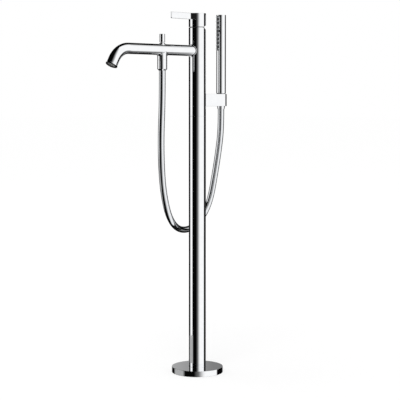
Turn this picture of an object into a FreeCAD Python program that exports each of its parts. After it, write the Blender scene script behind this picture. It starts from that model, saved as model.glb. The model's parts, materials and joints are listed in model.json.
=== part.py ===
"""Floor standing bath filler: column, lever mixer, spout with diverter, hose and stick handset.

Millimetres and degrees.  The origin is the column's axis at the floor, +Z is up, the spout and the
lever point to -Y and the handset stands at +Y.  Driving sizes are in the sheet Sizes, heights and
radii that follow from them are in the sheet Places.
"""
import FreeCAD
import Part
import Sketcher

import math
import os
import re

from FreeCAD import Placement, Rotation, Vector

doc = FreeCAD.newDocument("BathFiller")

# ---------------------------------------------------------------------------------------------
# Driving sizes
# ---------------------------------------------------------------------------------------------

SIZES = {
    # clearances
    "slip_clearance": 0.05,          # radial, between pieces that are fitted together
    "running_clearance": 0.06,       # radial, round a piece that turns or slides
    "face_gap": 0.05,                # between lapped faces that move on each other
    "edge_break": 0.5,               # chamfer on turned edges
    # floor plate and foot block
    "plate_diameter": 112,
    "plate_thickness": 6,
    "bolt_circle": 88,
    "bolt_hole": 9,
    "plate_slot_width": 18,
    "foot_block_height": 50,
    "inlet_spacing": 19,
    "inlet_bore": 15.2,
    "inlet_depth": 14,
    "foot_screw_offset": 13.5,
    "foot_screw_diameter": 4,
    "foot_screw_head": 7.6,
    "foot_screw_length": 16,
    "foot_screw_recess": 0.3,
    # rosette
    "rosette_margin": 7,             # beyond the plate, all round
    "rosette_height": 14,
    "rosette_wall": 1.5,
    "rosette_clearance": 0.3,
    "rosette_collar": 8,             # width of the collar round the column
    "collar_depth": 4.5,             # how far the collar hangs below the top plate
    "rosette_ring": 2.0,             # O-ring section
    # column
    "column_diameter": 42,
    "column_wall": 2,
    "column_joint": 632,             # height of the joint line between lower and upper column
    "body_height": 215,
    "body_wall": 3,
    "body_rim_break": 0.8,           # edge break round the body's rim
    "body_bevel": 22.7,              # slope of the body's back rim, under the tilting handle
    "coupling_length": 64,
    "coupling_bore": 31,
    "coupling_ring": 2.0,
    "coupling_ring_inset": 12,       # from the sleeve's ends to its O-rings
    # supply pipes
    "pipe_diameter": 10,
    "pipe_wall": 1,
    "pipe_spacing": 14,
    "pipe_setback": 2,
    "pipe_engagement": 10,
    "pipe_ring": 1.5,
    "pipe_ring_depth": 4,            # from the socket's mouth to its O-ring
    "channel_diameter": 7,
    # valve block
    "block_height": 88,
    "block_drop": 11,                # from the body's rim down to the block's top
    "port_offset": 4.6,
    "port_setback": 3.2,
    "port_diameter": 3.8,
    "mixed_port_offset": 1.0,
    "mixed_port_diameter": 4.4,
    "mixed_slot_width": 4,
    "mixed_slot_height": 16,
    # cartridge
    "pivot_drop": 9,                 # from the body's rim down to the stem's pivot
    "cartridge_diameter": 25,
    "cartridge_wall": 1.3,
    "lid_thickness": 2.5,
    "lid_rise": 0.6,                 # housing top above the pivot
    "neck_diameter": 16,
    "neck_rise": 4,
    "flange_diameter": 21.8,
    "flange_thickness": 2.8,
    "rail_width": 6,
    "rail_reach": 10.3,
    "driver_height": 9,
    "driver_flat": 15.6,             # across the flats
    "disc_diameter": 18,
    "fixed_disc_diameter": 22,
    "disc_thickness": 4,
    "pocket_diameter": 6.8,
    "pocket_depth": 2.5,
    "base_height": 7,
    "seal_thickness": 2,
    "nut_diameter": 30,
    "nut_thread": 6,
    "nut_lip": 2,
    "nut_opening": 18,
    "stem_arm": 7,                   # from the pivot down to the stem's ball
    "stem_ball": 4.8,
    "stem_shank": 3.6,
    "stem_width": 6,
    "stem_rise": 32,
    "pin_diameter": 2.5,
    "pin_inset": 0.6,
    "flow_angle": 25,                # how far the handle tilts
    # handle
    "handle_gap": 1.2,
    "handle_height": 32.8,
    "handle_wall": 3,
    "handle_skirt": 1,               # wall at the lower rim, thinned so that it swings clear of the body
    "handle_skirt_height": 5,
    "handle_top_thickness": 4,
    "handle_bevel": 15.8,
    "socket_diameter": 14,
    "socket_clearance": 4,           # from the cap's lower rim up to the stem socket
    "grub_height": 14.5,             # above the cap's lower rim
    "grub_diameter": 5,
    "grub_length": 9,
    "grub_boss": 10,
    "plug_depth": 2.5,
    "lever_length": 68,
    "lever_height": 15,
    "lever_thickness": 4.5,
    "lever_root": 6,                 # how far the blade enters the cap
    "lever_rounding": 3,
    # spout
    "spout_drop": 56.5,              # from the body's rim down to the spout's axis
    "spout_diameter": 26,
    "spout_wall": 2,
    "spout_straight": 226,           # from the column's axis to the start of the bend
    "bend_radius": 51,
    "bend_angle": 61,
    "spout_tail": 15,
    "saddle_fillet": 2.5,
    "spout_nipple_start": 9,         # from the column's axis
    "spout_nipple_length": 36,
    "spout_nipple_bore": 16,
    "spout_ring": 1.8,
    "spout_ring_inset": 4,
    "aerator_length": 9,
    "aerator_thread": 1.0,           # how much the aerator's seat widens the bore, on the radius
    "aerator_wall": 2.2,
    "aerator_recess": 1.2,
    "aerator_insert_length": 5,
    "aerator_hole": 2.4,
    "aerator_washer_thickness": 1.5,
    # diverter
    "diverter_reach": 118,           # from the column's axis
    "diverter_body_length": 28,
    "diverter_chamber": 13.2,
    "diverter_lower_seat": 8,        # from the spout's axis down to the seat
    "diverter_port": 9.2,
    "diverter_inlet": 9,
    "diverter_travel": 5,
    "valve_seal_thickness": 2,
    "valve_disc_thickness": 2,
    "upper_seal_thickness": 1,
    "valve_disc_diameter": 12.4,
    "upper_seat_thickness": 1.5,
    "upper_seat_bore": 8.8,
    "cage_height": 4.5,
    "cage_window": 6,
    "bonnet_diameter": 13,
    "bonnet_neck": 10.5,
    "bonnet_neck_height": 4.5,
    "bonnet_flare": 2,               # height of the cone at the neck's foot
    "bonnet_roof": 2,
    "spring_chamber": 7.8,
    "bonnet_ring": 1.2,
    "diverter_stem_diameter": 4,
    "spring_collar_diameter": 6.8,
    "spring_collar_thickness": 0.8,
    "spring_wire": 0.7,
    "spring_diameter": 6.0,
    "spring_turns": 5,
    "knob_diameter": 13.5,
    "knob_height": 19,
    "knob_gap": 0.3,
    "knob_socket": 12,
    # hose outlet
    "boss_diameter": 23.6,
    "boss_length": 11.5,             # below the spout's underside
    "outlet_spigot_diameter": 16,
    "outlet_spigot_length": 10,
    "hose_thread": 20.9,
    "outlet_nipple_length": 14,
    "outlet_nipple_bore": 13,
    "outlet_nipple_throat": 10,
    "check_valve_length": 11,
    "check_valve_bore": 7,
    "joint_line": 0.15,              # hairline between boss and nut
    "hose_nut_height": 24.8,
    "hose_nut_taper": 3.5,
    "hose_nut_ledge": 7,
    "washer_thickness": 2,
    "ferrule_flange": 2,
    "ferrule_flange_diameter": 19.2,
    "ferrule_bore": 9,
    "hose_diameter": 15.8,
    "hose_bore": 9,
    "nut_running": 0.2,              # radial, between a nut and the hose's collar
    # holder
    "handset_reach": 84,             # from the column's axis to the handset's axis
    "holder_bottom": 24,             # above the column's joint line
    "holder_height": 30,
    "holder_width": 28,
    "holder_edge": 0.6,
    "bush_diameter": 25.4,
    "holder_screw_diameter": 8,
    "holder_screw_head": 13,
    "holder_screw_head_height": 4,
    "holder_screw_reach": 40,
    # handset
    "handset_diameter": 23.8,
    "handset_length": 194.7,
    "handset_wall": 1.2,
    "handset_floor": 4,
    "handset_rounding": 2.5,
    "handset_lift_gap": 0.3,         # between the holder's top and the handset
    "handset_thread_length": 14.3,
    "handset_spigot_diameter": 17,
    "handset_spigot_length": 10,
    "cone_nut_diameter": 23,
    "cone_nut_bush_gap": 0.15,
    "cone_height": 16,
    "cone_length_below": 8,          # how far the nut shows under the holder
    "cone_end_diameter": 17,
    "waterway_wall": 1,
    "nozzle_rows": 9,
    "nozzle_pitch": 9.7,
    "nozzle_angle": 14,              # each side of -Y
    "nozzle_diameter": 3.2,
    "nozzle_tip": 2.4,
    "nozzle_proud": 1.9,
    "nozzle_bore": 1.0,
    "strip_width": 9.4,
    "strip_margin": 4,               # beyond the first and last row
    "strip_flange": 0.9,
    "strip_backing": 1.5,
    "end_cap_thickness": 2,
}

# ---------------------------------------------------------------------------------------------
# Heights and radii that follow
# ---------------------------------------------------------------------------------------------

PLACES = {
    # column
    "column_radius": "column_diameter / 2",
    "column_bore": "column_radius - column_wall",
    "body_bore": "column_radius - body_wall",
    "body_top": "column_joint + body_height",
    # foot
    "block_end": "plate_thickness + foot_block_height",
    "foot_block_radius": "column_bore - slip_clearance",
    "inlet_top": "plate_thickness + inlet_depth",
    "foot_socket_floor": "block_end - pipe_engagement",
    # rosette
    "rosette_radius": "plate_diameter / 2 + rosette_margin",
    "rosette_bore": "column_radius + rosette_clearance",
    "rosette_under": "rosette_height - rosette_wall",
    "collar_bottom": "rosette_under - collar_depth",
    "collar_middle": "collar_bottom + collar_depth / 2",
    "rosette_groove": "column_radius + running_clearance + rosette_ring",
    # pipes
    "pipe_radius": "pipe_diameter / 2",
    "pipe_socket": "pipe_radius + slip_clearance",
    # coupling
    "coupling_bottom": "column_joint - coupling_length / 2",
    "coupling_top": "column_joint + coupling_length / 2",
    "coupling_lower_radius": "column_bore - slip_clearance",
    "coupling_upper_radius": "body_bore - slip_clearance",
    # valve block
    "block_top": "body_top - block_drop",
    "block_bottom": "block_top - block_height",
    "block_radius": "body_bore - slip_clearance",
    "block_socket_top": "block_bottom + pipe_engagement",
    # cartridge, from the pivot
    "pivot_height": "body_top - pivot_drop",
    "cartridge_radius": "cartridge_diameter / 2",
    "cartridge_bore": "cartridge_radius - cartridge_wall",
    "neck_radius": "neck_diameter / 2",
    "lid_top": "pivot_height + lid_rise",
    "lid_bottom": "lid_top - lid_thickness",
    "flange_top": "lid_bottom - face_gap",
    "flange_bottom": "flange_top - flange_thickness",
    "driver_top": "flange_bottom - 2 * face_gap",
    "driver_bottom": "driver_top - driver_height",
    "disc_bottom": "driver_bottom - disc_thickness",
    "fixed_top": "disc_bottom - face_gap",
    "fixed_bottom": "fixed_top - disc_thickness",
    "base_bottom": "fixed_bottom - base_height",
    "seat_floor": "base_bottom - seal_thickness",
    "ball_height": "pivot_height - stem_arm",
    "ball_radius": "stem_ball / 2",
    "disc_travel": "stem_arm * sin(flow_angle)",
    "slot_half": "stem_width / 2 / cos(flow_angle) + neck_rise * tan(flow_angle) + 0.4",
    "nut_bottom": "block_top - nut_thread",
    # handle
    "cap_bottom": "body_top + handle_gap",
    "cap_top": "cap_bottom + handle_height",
    "cap_bore": "column_radius - handle_wall",
    "cap_ceiling": "cap_top - handle_top_thickness",
    "stem_top": "pivot_height + stem_rise",
    "grub_axis": "cap_bottom + grub_height",
    "lever_bottom": "cap_top - lever_height",
    # spout
    "spout_axis": "body_top - spout_drop",
    "spout_radius": "spout_diameter / 2",
    "spout_bore": "spout_radius - spout_wall",
    "spout_end_y": "-spout_straight - bend_radius * sin(bend_angle) - spout_tail * cos(bend_angle)",
    "spout_end_z": "spout_axis - bend_radius * (1 - cos(bend_angle)) - spout_tail * sin(bend_angle)",
    "aerator_seat": "spout_bore + aerator_thread",
    # diverter
    "lower_seat": "spout_axis - diverter_lower_seat",
    "valve_disc_bottom": "lower_seat + valve_seal_thickness",
    "valve_disc_top": "valve_disc_bottom + valve_disc_thickness",
    "upper_seal_top": "valve_disc_top + upper_seal_thickness",
    "upper_seat_bottom": "upper_seal_top + diverter_travel",
    "upper_seat_top": "upper_seat_bottom + upper_seat_thickness",
    "cage_top": "upper_seat_top + cage_height",
    "bonnet_shoulder": "spout_axis + spout_radius",
    "bonnet_top": "bonnet_shoulder + bonnet_neck_height",
    "spring_ceiling": "bonnet_top - bonnet_roof",
    "spring_floor": "upper_seat_top + spring_collar_thickness",
    "knob_bottom": "bonnet_top + knob_gap",
    "knob_top": "knob_bottom + knob_height",
    "diverter_fit": "spout_bore - slip_clearance",
    # hose outlet
    "boss_radius": "boss_diameter / 2",
    "boss_bottom": "spout_axis - spout_radius - boss_length",
    "thread_radius": "hose_thread / 2",
    "outlet_nipple_bottom": "boss_bottom - outlet_nipple_length",
    "hose_nut_top": "boss_bottom - joint_line",
    "hose_nut_bottom": "hose_nut_top - hose_nut_height",
    "nut_ledge": "outlet_nipple_bottom - washer_thickness - ferrule_flange",
    "hose_radius": "hose_diameter / 2",
    "nut_hole": "hose_radius + nut_running",
    # holder and handset
    "holder_base": "column_joint + holder_bottom",
    "holder_top": "holder_base + holder_height",
    "handset_bottom": "holder_top + handset_lift_gap",
    "handset_top": "handset_bottom + handset_length",
    "handset_radius": "handset_diameter / 2",
    "handset_bore": "handset_radius - handset_wall",
    "handset_thread_end": "handset_bottom - handset_thread_length",
    "cone_radius": "cone_nut_diameter / 2",
    "cone_end": "holder_base - cone_length_below",
    "cone_start": "cone_end + cone_height",
    "cone_ledge": "handset_thread_end - washer_thickness - ferrule_flange",
    "cone_slope": "(cone_nut_diameter - cone_end_diameter) / 2 / cone_height",
    "bush_bore": "cone_radius + cone_nut_bush_gap",
    "spigot_top": "handset_bottom + handset_spigot_length",
    "waterway_radius": "handset_bore - strip_backing - slip_clearance",
    "end_cap_bottom": "handset_top - end_cap_thickness",
    "strip_top": "end_cap_bottom",
    "last_row": "strip_top - strip_margin",
    "first_row": "last_row - (nozzle_rows - 1) * nozzle_pitch",
    "strip_bottom": "first_row - strip_margin",
    "strip_length": "strip_top - strip_bottom",
    "screw_head_face": "sqrt(body_bore ^ 2 - (holder_screw_head / 2) ^ 2)",
}


def make_sheet(name, rows):
    """Write a sheet of aliased cells, one to a row."""
    sheet = doc.addObject("Spreadsheet::Sheet", name)
    for row, (alias, content) in enumerate(rows.items(), start=1):
        sheet.set(f"A{row}", alias)
        sheet.set(f"B{row}", content)
        sheet.setAlias(f"B{row}", alias)
    return sheet


def use(text):
    """Point every alias in a formula at its sheet."""
    def point(match):
        word = match.group(0)
        if word in SIZES:
            return "Sizes." + word
        if word in PLACES:
            return "Places." + word
        return word
    return re.sub(r"[A-Za-z_]+", point, str(text))


sizes = make_sheet("Sizes", {alias: str(size) for alias, size in SIZES.items()})
places = make_sheet("Places", {alias: "=" + use(text).replace("Places.", "") for alias, text in PLACES.items()})
doc.recompute()


def value(alias):
    """A size or a place, as a plain number."""
    sheet = sizes if alias in SIZES else places
    return float(sheet.get(alias))


# ---------------------------------------------------------------------------------------------
# Ways of making a piece
# ---------------------------------------------------------------------------------------------

ACROSS = Rotation(Vector(0, 1, 0), 90)      # local Z along +X
FORWARD = Rotation(Vector(1, 0, 0), 90)     # local Z along -Y, the way the spout points
UPRIGHT = Rotation()

helpers = 0


def helper_name(kind):
    """A name for an object that only serves to build a piece."""
    global helpers
    helpers += 1
    return f"{kind}_{helpers}"


def bind(obj, **formulas):
    """Tie properties to the sheets; a double underscore stands for a dot."""
    for prop, text in formulas.items():
        obj.setExpression(prop.replace("__", "."), use(text))
    return obj


def put(obj, x="0", y="0", z="0", turn=UPRIGHT):
    """Place an object, with each coordinate tied to the sheets."""
    obj.Placement = Placement(Vector(), turn)
    return bind(obj, Placement__Base__x=x, Placement__Base__y=y, Placement__Base__z=z)


def rod(radius, length, x="0", y="0", z="0", turn=UPRIGHT):
    """A cylinder, used as stock or as a drill."""
    stock = doc.addObject("Part::Cylinder", helper_name("rod"))
    bind(stock, Radius=radius, Height=length)
    return put(stock, x, y, z, turn)


def slab(length, width, height, x="0", y="0", z="0"):
    """A box, placed by its lowest corner."""
    stock = doc.addObject("Part::Box", helper_name("slab"))
    bind(stock, Length=length, Width=width, Height=height)
    return put(stock, x, y, z)


def fuse(*parts):
    """Join solids into one."""
    joined = doc.addObject("Part::MultiFuse", helper_name("fuse"))
    joined.Shapes = list(parts)
    joined.Refine = True
    return joined


def cut(stock, *tools):
    """Take tools away from a solid."""
    result = doc.addObject("Part::Cut", helper_name("cut"))
    result.Base = stock
    result.Tool = tools[0] if len(tools) == 1 else fuse(*tools)
    result.Refine = True
    return result


def common(first, second):
    """Keep what two solids share."""
    result = doc.addObject("Part::Common", helper_name("common"))
    result.Base = first
    result.Tool = second
    result.Refine = True
    return result


def ring(radius, section, x="0", y="0", z="0", turn=UPRIGHT):
    """An O-ring of a given section whose centre line has a given radius."""
    torus = doc.addObject("Part::Torus", helper_name("ring"))
    bind(torus, Radius1=radius, Radius2=f"({section}) / 2")
    return put(torus, x, y, z, turn)


def origin_plane(body, role):
    """One of a body's own origin planes."""
    return next(feature for feature in body.Origin.OriginFeatures if feature.Role == role)


def outline(sketch, corners):
    """Draw a closed polygon and tie every corner to the sheets."""
    count = len(corners)
    spots = [Vector(float(evaluate(a)), float(evaluate(b)), 0) for a, b in corners]
    for index, spot in enumerate(spots):
        sketch.addGeometry(Part.LineSegment(spot, spots[(index + 1) % count]))
    for index in range(count):
        sketch.addConstraint(Sketcher.Constraint("Coincident", index, 2, (index + 1) % count, 1))
    for index, (a, b) in enumerate(corners):
        for kind, text, size in (("DistanceX", a, spots[index].x), ("DistanceY", b, spots[index].y)):
            row = sketch.addConstraint(Sketcher.Constraint(kind, -1, 1, index, 1, size))
            sketch.setExpression(f"Constraints[{row}]", use(text))


def evaluate(text):
    """The present value of a formula."""
    return sizes.evalExpression(use(text))


def new_sketch(body, role):
    """A sketch on one of a body's own origin planes."""
    sketch = body.newObject("Sketcher::SketchObject", helper_name("sketch"))
    sketch.AttachmentSupport = (origin_plane(body, role), [""])
    sketch.MapMode = "FlatFace"
    return sketch


def turned(corners, x="0", y="0", z="0", turn=UPRIGHT):
    """A lathe-turned body: (radius, height) corners of its half section, revolved about its axis."""
    body = doc.addObject("PartDesign::Body", helper_name("body"))
    sketch = new_sketch(body, "XZ_Plane")
    outline(sketch, corners)
    spin = body.newObject("PartDesign::Revolution", helper_name("revolution"))
    spin.Profile = sketch
    spin.ReferenceAxis = (sketch, ["V_Axis"])
    spin.Angle = 360
    return put(body, x, y, z, turn)


def milled(corners, thickness, role="XY_Plane", midplane=False):
    """A body padded from a polygon on one of its own planes."""
    body = doc.addObject("PartDesign::Body", helper_name("body"))
    sketch = new_sketch(body, role)
    outline(sketch, corners)
    pad = body.newObject("PartDesign::Pad", helper_name("pad"))
    pad.Profile = sketch
    pad.Midplane = midplane
    bind(pad, Length=thickness)
    return body


def sleeve(outer, inner, bottom, top):
    """Corners of a plain tube's half section."""
    return [(inner, bottom), (outer, bottom), (outer, top), (inner, top)]


def as_feature(shape):
    """Hold a shape that was made with Part's own functions."""
    feature = doc.addObject("Part::Feature", helper_name("feature"))
    feature.Shape = shape
    return feature


pieces = {}


def piece(label, obj):
    """Name an object as one of the finished sub-parts."""
    obj.Label = label
    pieces[label] = obj
    return obj


def group(label, *members):
    """Name several like solids as one sub-part."""
    compound = doc.addObject("Part::Compound", helper_name("group"))
    compound.Links = list(members)
    return piece(label, compound)


# ---------------------------------------------------------------------------------------------
# Foot: plate, block, screws and rosette
# ---------------------------------------------------------------------------------------------

def make_foot_plate():
    """Round floor plate with a slot for the supplies, four bolt holes and two countersinks."""
    body = doc.addObject("PartDesign::Body", "FootPlate")
    disc = new_sketch(body, "XY_Plane")
    disc.addGeometry(Part.Circle(Vector(), Vector(0, 0, 1), value("plate_diameter") / 2))
    disc.addConstraint(Sketcher.Constraint("Coincident", 0, 3, -1, 1))
    row = disc.addConstraint(Sketcher.Constraint("Radius", 0, value("plate_diameter") / 2))
    disc.setExpression(f"Constraints[{row}]", use("plate_diameter / 2"))
    pad = body.newObject("PartDesign::Pad", "PlateDisc")
    pad.Profile = disc
    bind(pad, Length="plate_thickness")
    hole = new_sketch(body, "XY_Plane")
    spot = Vector(value("bolt_circle") / 2 * math.cos(math.radians(45)),
                  value("bolt_circle") / 2 * math.sin(math.radians(45)), 0)
    hole.addGeometry(Part.Circle(spot, Vector(0, 0, 1), value("bolt_hole") / 2))
    for kind, text, size in (("DistanceX", "bolt_circle / 2 * cos(45)", spot.x),
                             ("DistanceY", "bolt_circle / 2 * sin(45)", spot.y)):
        row = hole.addConstraint(Sketcher.Constraint(kind, -1, 1, 0, 3, size))
        hole.setExpression(f"Constraints[{row}]", use(text))
    row = hole.addConstraint(Sketcher.Constraint("Radius", 0, value("bolt_hole") / 2))
    hole.setExpression(f"Constraints[{row}]", use("bolt_hole / 2"))
    pocket = body.newObject("PartDesign::Pocket", "BoltHole")
    pocket.Profile = hole
    pocket.Type = "ThroughAll"
    pocket.Reversed = True
    pattern = body.newObject("PartDesign::PolarPattern", "BoltHoles")
    pattern.Originals = [pocket]
    pattern.Axis = (hole, ["N_Axis"])
    pattern.Angle = 360
    pattern.Occurrences = 4
    body.Tip = pattern
    slot = fuse(slab("inlet_spacing", "plate_slot_width", "plate_thickness",
                     "-inlet_spacing / 2", "-plate_slot_width / 2", "0"),
                rod("plate_slot_width / 2", "plate_thickness", "inlet_spacing / 2"),
                rod("plate_slot_width / 2", "plate_thickness", "-inlet_spacing / 2"))
    plate = cut(body, slot, *[foot_screw(side, "slip_clearance") for side in (-1, 1)])
    piece("foot_plate", plate)


def foot_screw(side, allowance="0"):
    """A countersunk screw through the plate into the block, or its hole when given an allowance."""
    shank = f"foot_screw_diameter / 2 + {allowance}"
    head = f"foot_screw_head / 2 + {allowance}"
    low = "foot_screw_recess" if allowance == "0" else "-1"
    cone = "foot_screw_recess + (foot_screw_head - foot_screw_diameter) / 2"
    top = "foot_screw_recess + foot_screw_length"
    corners = [("0", low), (head, low), (head, "foot_screw_recess"), (shank, cone), (shank, top), ("0", top)]
    if allowance == "0":
        corners.pop(1)
    return turned(corners, y=f"{side} * foot_screw_offset")


def make_foot_block():
    """Brass block that carries the column, with the hot and cold inlets in its underside."""
    drills = []
    for side in (-1, 1):
        pipe_x = f"{side} * pipe_spacing / 2"
        drills.append(rod("inlet_bore / 2", "inlet_depth", f"{side} * inlet_spacing / 2", "0", "plate_thickness"))
        drills.append(rod("channel_diameter / 2", "foot_block_height", pipe_x, "-pipe_setback", "plate_thickness + 1"))
        drills.append(rod("pipe_socket", "pipe_engagement + 1", pipe_x, "-pipe_setback", "foot_socket_floor"))
        drills.append(rod("pipe_radius + pipe_ring", "pipe_ring", pipe_x, "-pipe_setback",
                          "block_end - pipe_ring_depth - pipe_ring / 2"))
        drills.append(foot_screw(side, "slip_clearance"))
    piece("foot_block", cut(rod("foot_block_radius", "foot_block_height", z="plate_thickness"), *drills))


def make_rosette():
    """Domed-edge cover that slides up the column, with an O-ring in its collar."""
    collar = "rosette_bore + rosette_collar"
    half_groove = "(rosette_ring / 2 + slip_clearance)"
    piece("floor_rosette", turned([
        ("rosette_radius - rosette_wall", "0"),
        ("rosette_radius", "0"),
        ("rosette_radius", "rosette_height - edge_break"),
        ("rosette_radius - edge_break", "rosette_height"),
        ("rosette_bore", "rosette_height"),
        ("rosette_bore", f"collar_middle + {half_groove}"),
        ("rosette_groove", f"collar_middle + {half_groove}"),
        ("rosette_groove", f"collar_middle - {half_groove}"),
        ("rosette_bore", f"collar_middle - {half_groove}"),
        ("rosette_bore", "collar_bottom"),
        (collar, "collar_bottom"),
        (collar, "rosette_under"),
        ("rosette_radius - rosette_wall", "rosette_under"),
    ]))
    piece("rosette_o_ring", ring("rosette_groove - rosette_ring / 2", "rosette_ring", z="collar_middle"))


# ---------------------------------------------------------------------------------------------
# Column: tubes, coupling and supply pipes
# ---------------------------------------------------------------------------------------------

def make_column():
    """Lower tube, coupling sleeve with its O-rings, and the two supply pipes."""
    piece("column_tube", turned(sleeve("column_radius", "column_bore", "plate_thickness", "column_joint")))
    lower = "coupling_bottom + coupling_ring_inset"
    upper = "coupling_top - coupling_ring_inset"
    half = "(coupling_ring / 2 + slip_clearance)"
    piece("column_coupling", turned([
        ("coupling_bore / 2", "coupling_bottom"),
        ("coupling_lower_radius", "coupling_bottom"),
        ("coupling_lower_radius", f"{lower} - {half}"),
        ("column_bore - coupling_ring", f"{lower} - {half}"),
        ("column_bore - coupling_ring", f"{lower} + {half}"),
        ("coupling_lower_radius", f"{lower} + {half}"),
        ("coupling_lower_radius", "column_joint"),
        ("coupling_upper_radius", "column_joint"),
        ("coupling_upper_radius", f"{upper} - {half}"),
        ("body_bore - coupling_ring", f"{upper} - {half}"),
        ("body_bore - coupling_ring", f"{upper} + {half}"),
        ("coupling_upper_radius", f"{upper} + {half}"),
        ("coupling_upper_radius", "coupling_top"),
        ("coupling_bore / 2", "coupling_top"),
    ]))
    group("coupling_o_rings",
          ring("column_bore - coupling_ring / 2", "coupling_ring", z=lower),
          ring("body_bore - coupling_ring / 2", "coupling_ring", z=upper))
    for side, label in ((-1, "hot_supply_pipe"), (1, "cold_supply_pipe")):
        tube = turned(sleeve("pipe_radius", "pipe_radius - pipe_wall", "foot_socket_floor", "block_socket_top"),
                      x=f"{side} * pipe_spacing / 2", y="-pipe_setback")
        piece(label, tube)
    group("pipe_o_rings", *[
        ring("pipe_radius + pipe_ring / 2", "pipe_ring", f"{side} * pipe_spacing / 2", "-pipe_setback", height)
        for side in (-1, 1)
        for height in ("block_end - pipe_ring_depth", "block_bottom + pipe_ring_depth")])


# ---------------------------------------------------------------------------------------------
# Upper column: body shell and valve block
# ---------------------------------------------------------------------------------------------

def bevel_wedge(rim, slope, down):
    """What the back half of a rim loses to a plane that starts at the middle."""
    reach = "2 * column_radius"
    rise = f"{rim} {'-' if down else '+'} {reach} * tan({slope})"
    return milled([("0", rim), (reach, rim), (reach, rise)], reach, "YZ_Plane", midplane=True)


def make_mixer_body():
    """Upper column shell: rim bevelled at the back, holes for the spout and the holder's screw."""
    shell = turned([
        ("body_bore", "column_joint"),
        ("column_radius", "column_joint"),
        ("column_radius", "body_top - body_rim_break"),
        ("column_radius - body_rim_break", "body_top"),
        ("body_bore", "body_top"),
    ])
    piece("mixer_body", cut(
        shell,
        bevel_wedge("body_top", "body_bevel", down=True),
        rod("spout_bore", "2 * column_radius", z="spout_axis", turn=FORWARD),
        rod("holder_screw_diameter / 2 + slip_clearance", "2 * column_radius", y="2 * column_radius",
            z="holder_base + holder_height / 2", turn=FORWARD)))


def make_valve_block():
    """Brass block: pipe sockets below, cartridge seat above, mixed water out to the spout."""
    drills = [
        rod("cartridge_radius + slip_clearance", "block_height", z="seat_floor"),
        rod("nut_diameter / 2 + slip_clearance", "block_height", z="nut_bottom"),
        rod("mixed_port_diameter / 2", "seat_floor - spout_axis + 1", y="mixed_port_offset", z="spout_axis"),
        slab("mixed_slot_width", "block_radius + mixed_port_offset + mixed_port_diameter / 2",
             "mixed_slot_height", "-mixed_slot_width / 2", "-block_radius", "spout_axis - mixed_slot_height / 2"),
        rod("spout_bore", "block_radius", y="-spout_nipple_start", z="spout_axis", turn=FORWARD),
    ]
    for side in (-1, 1):
        pipe_x = f"{side} * pipe_spacing / 2"
        drills.append(rod("pipe_socket", "pipe_engagement", pipe_x, "-pipe_setback", "block_bottom"))
        drills.append(rod("pipe_radius + pipe_ring", "pipe_ring", pipe_x, "-pipe_setback",
                          "block_bottom + pipe_ring_depth - pipe_ring / 2"))
        drills.append(rod("port_diameter / 2", "seat_floor - block_socket_top + 2",
                          f"{side} * port_offset", "-port_setback", "block_socket_top - 1"))
    piece("valve_block", cut(rod("block_radius", "block_height", z="block_bottom"), *drills))


# ---------------------------------------------------------------------------------------------
# Cartridge
# ---------------------------------------------------------------------------------------------

def port_drills(bottom, height):
    """The three water ways through the seals, the base and the fixed disc."""
    ways = [rod("port_diameter / 2", height, f"{side} * port_offset", "-port_setback", bottom) for side in (-1, 1)]
    ways.append(rod("mixed_port_diameter / 2", height, "0", "mixed_port_offset", bottom))
    return ways


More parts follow.
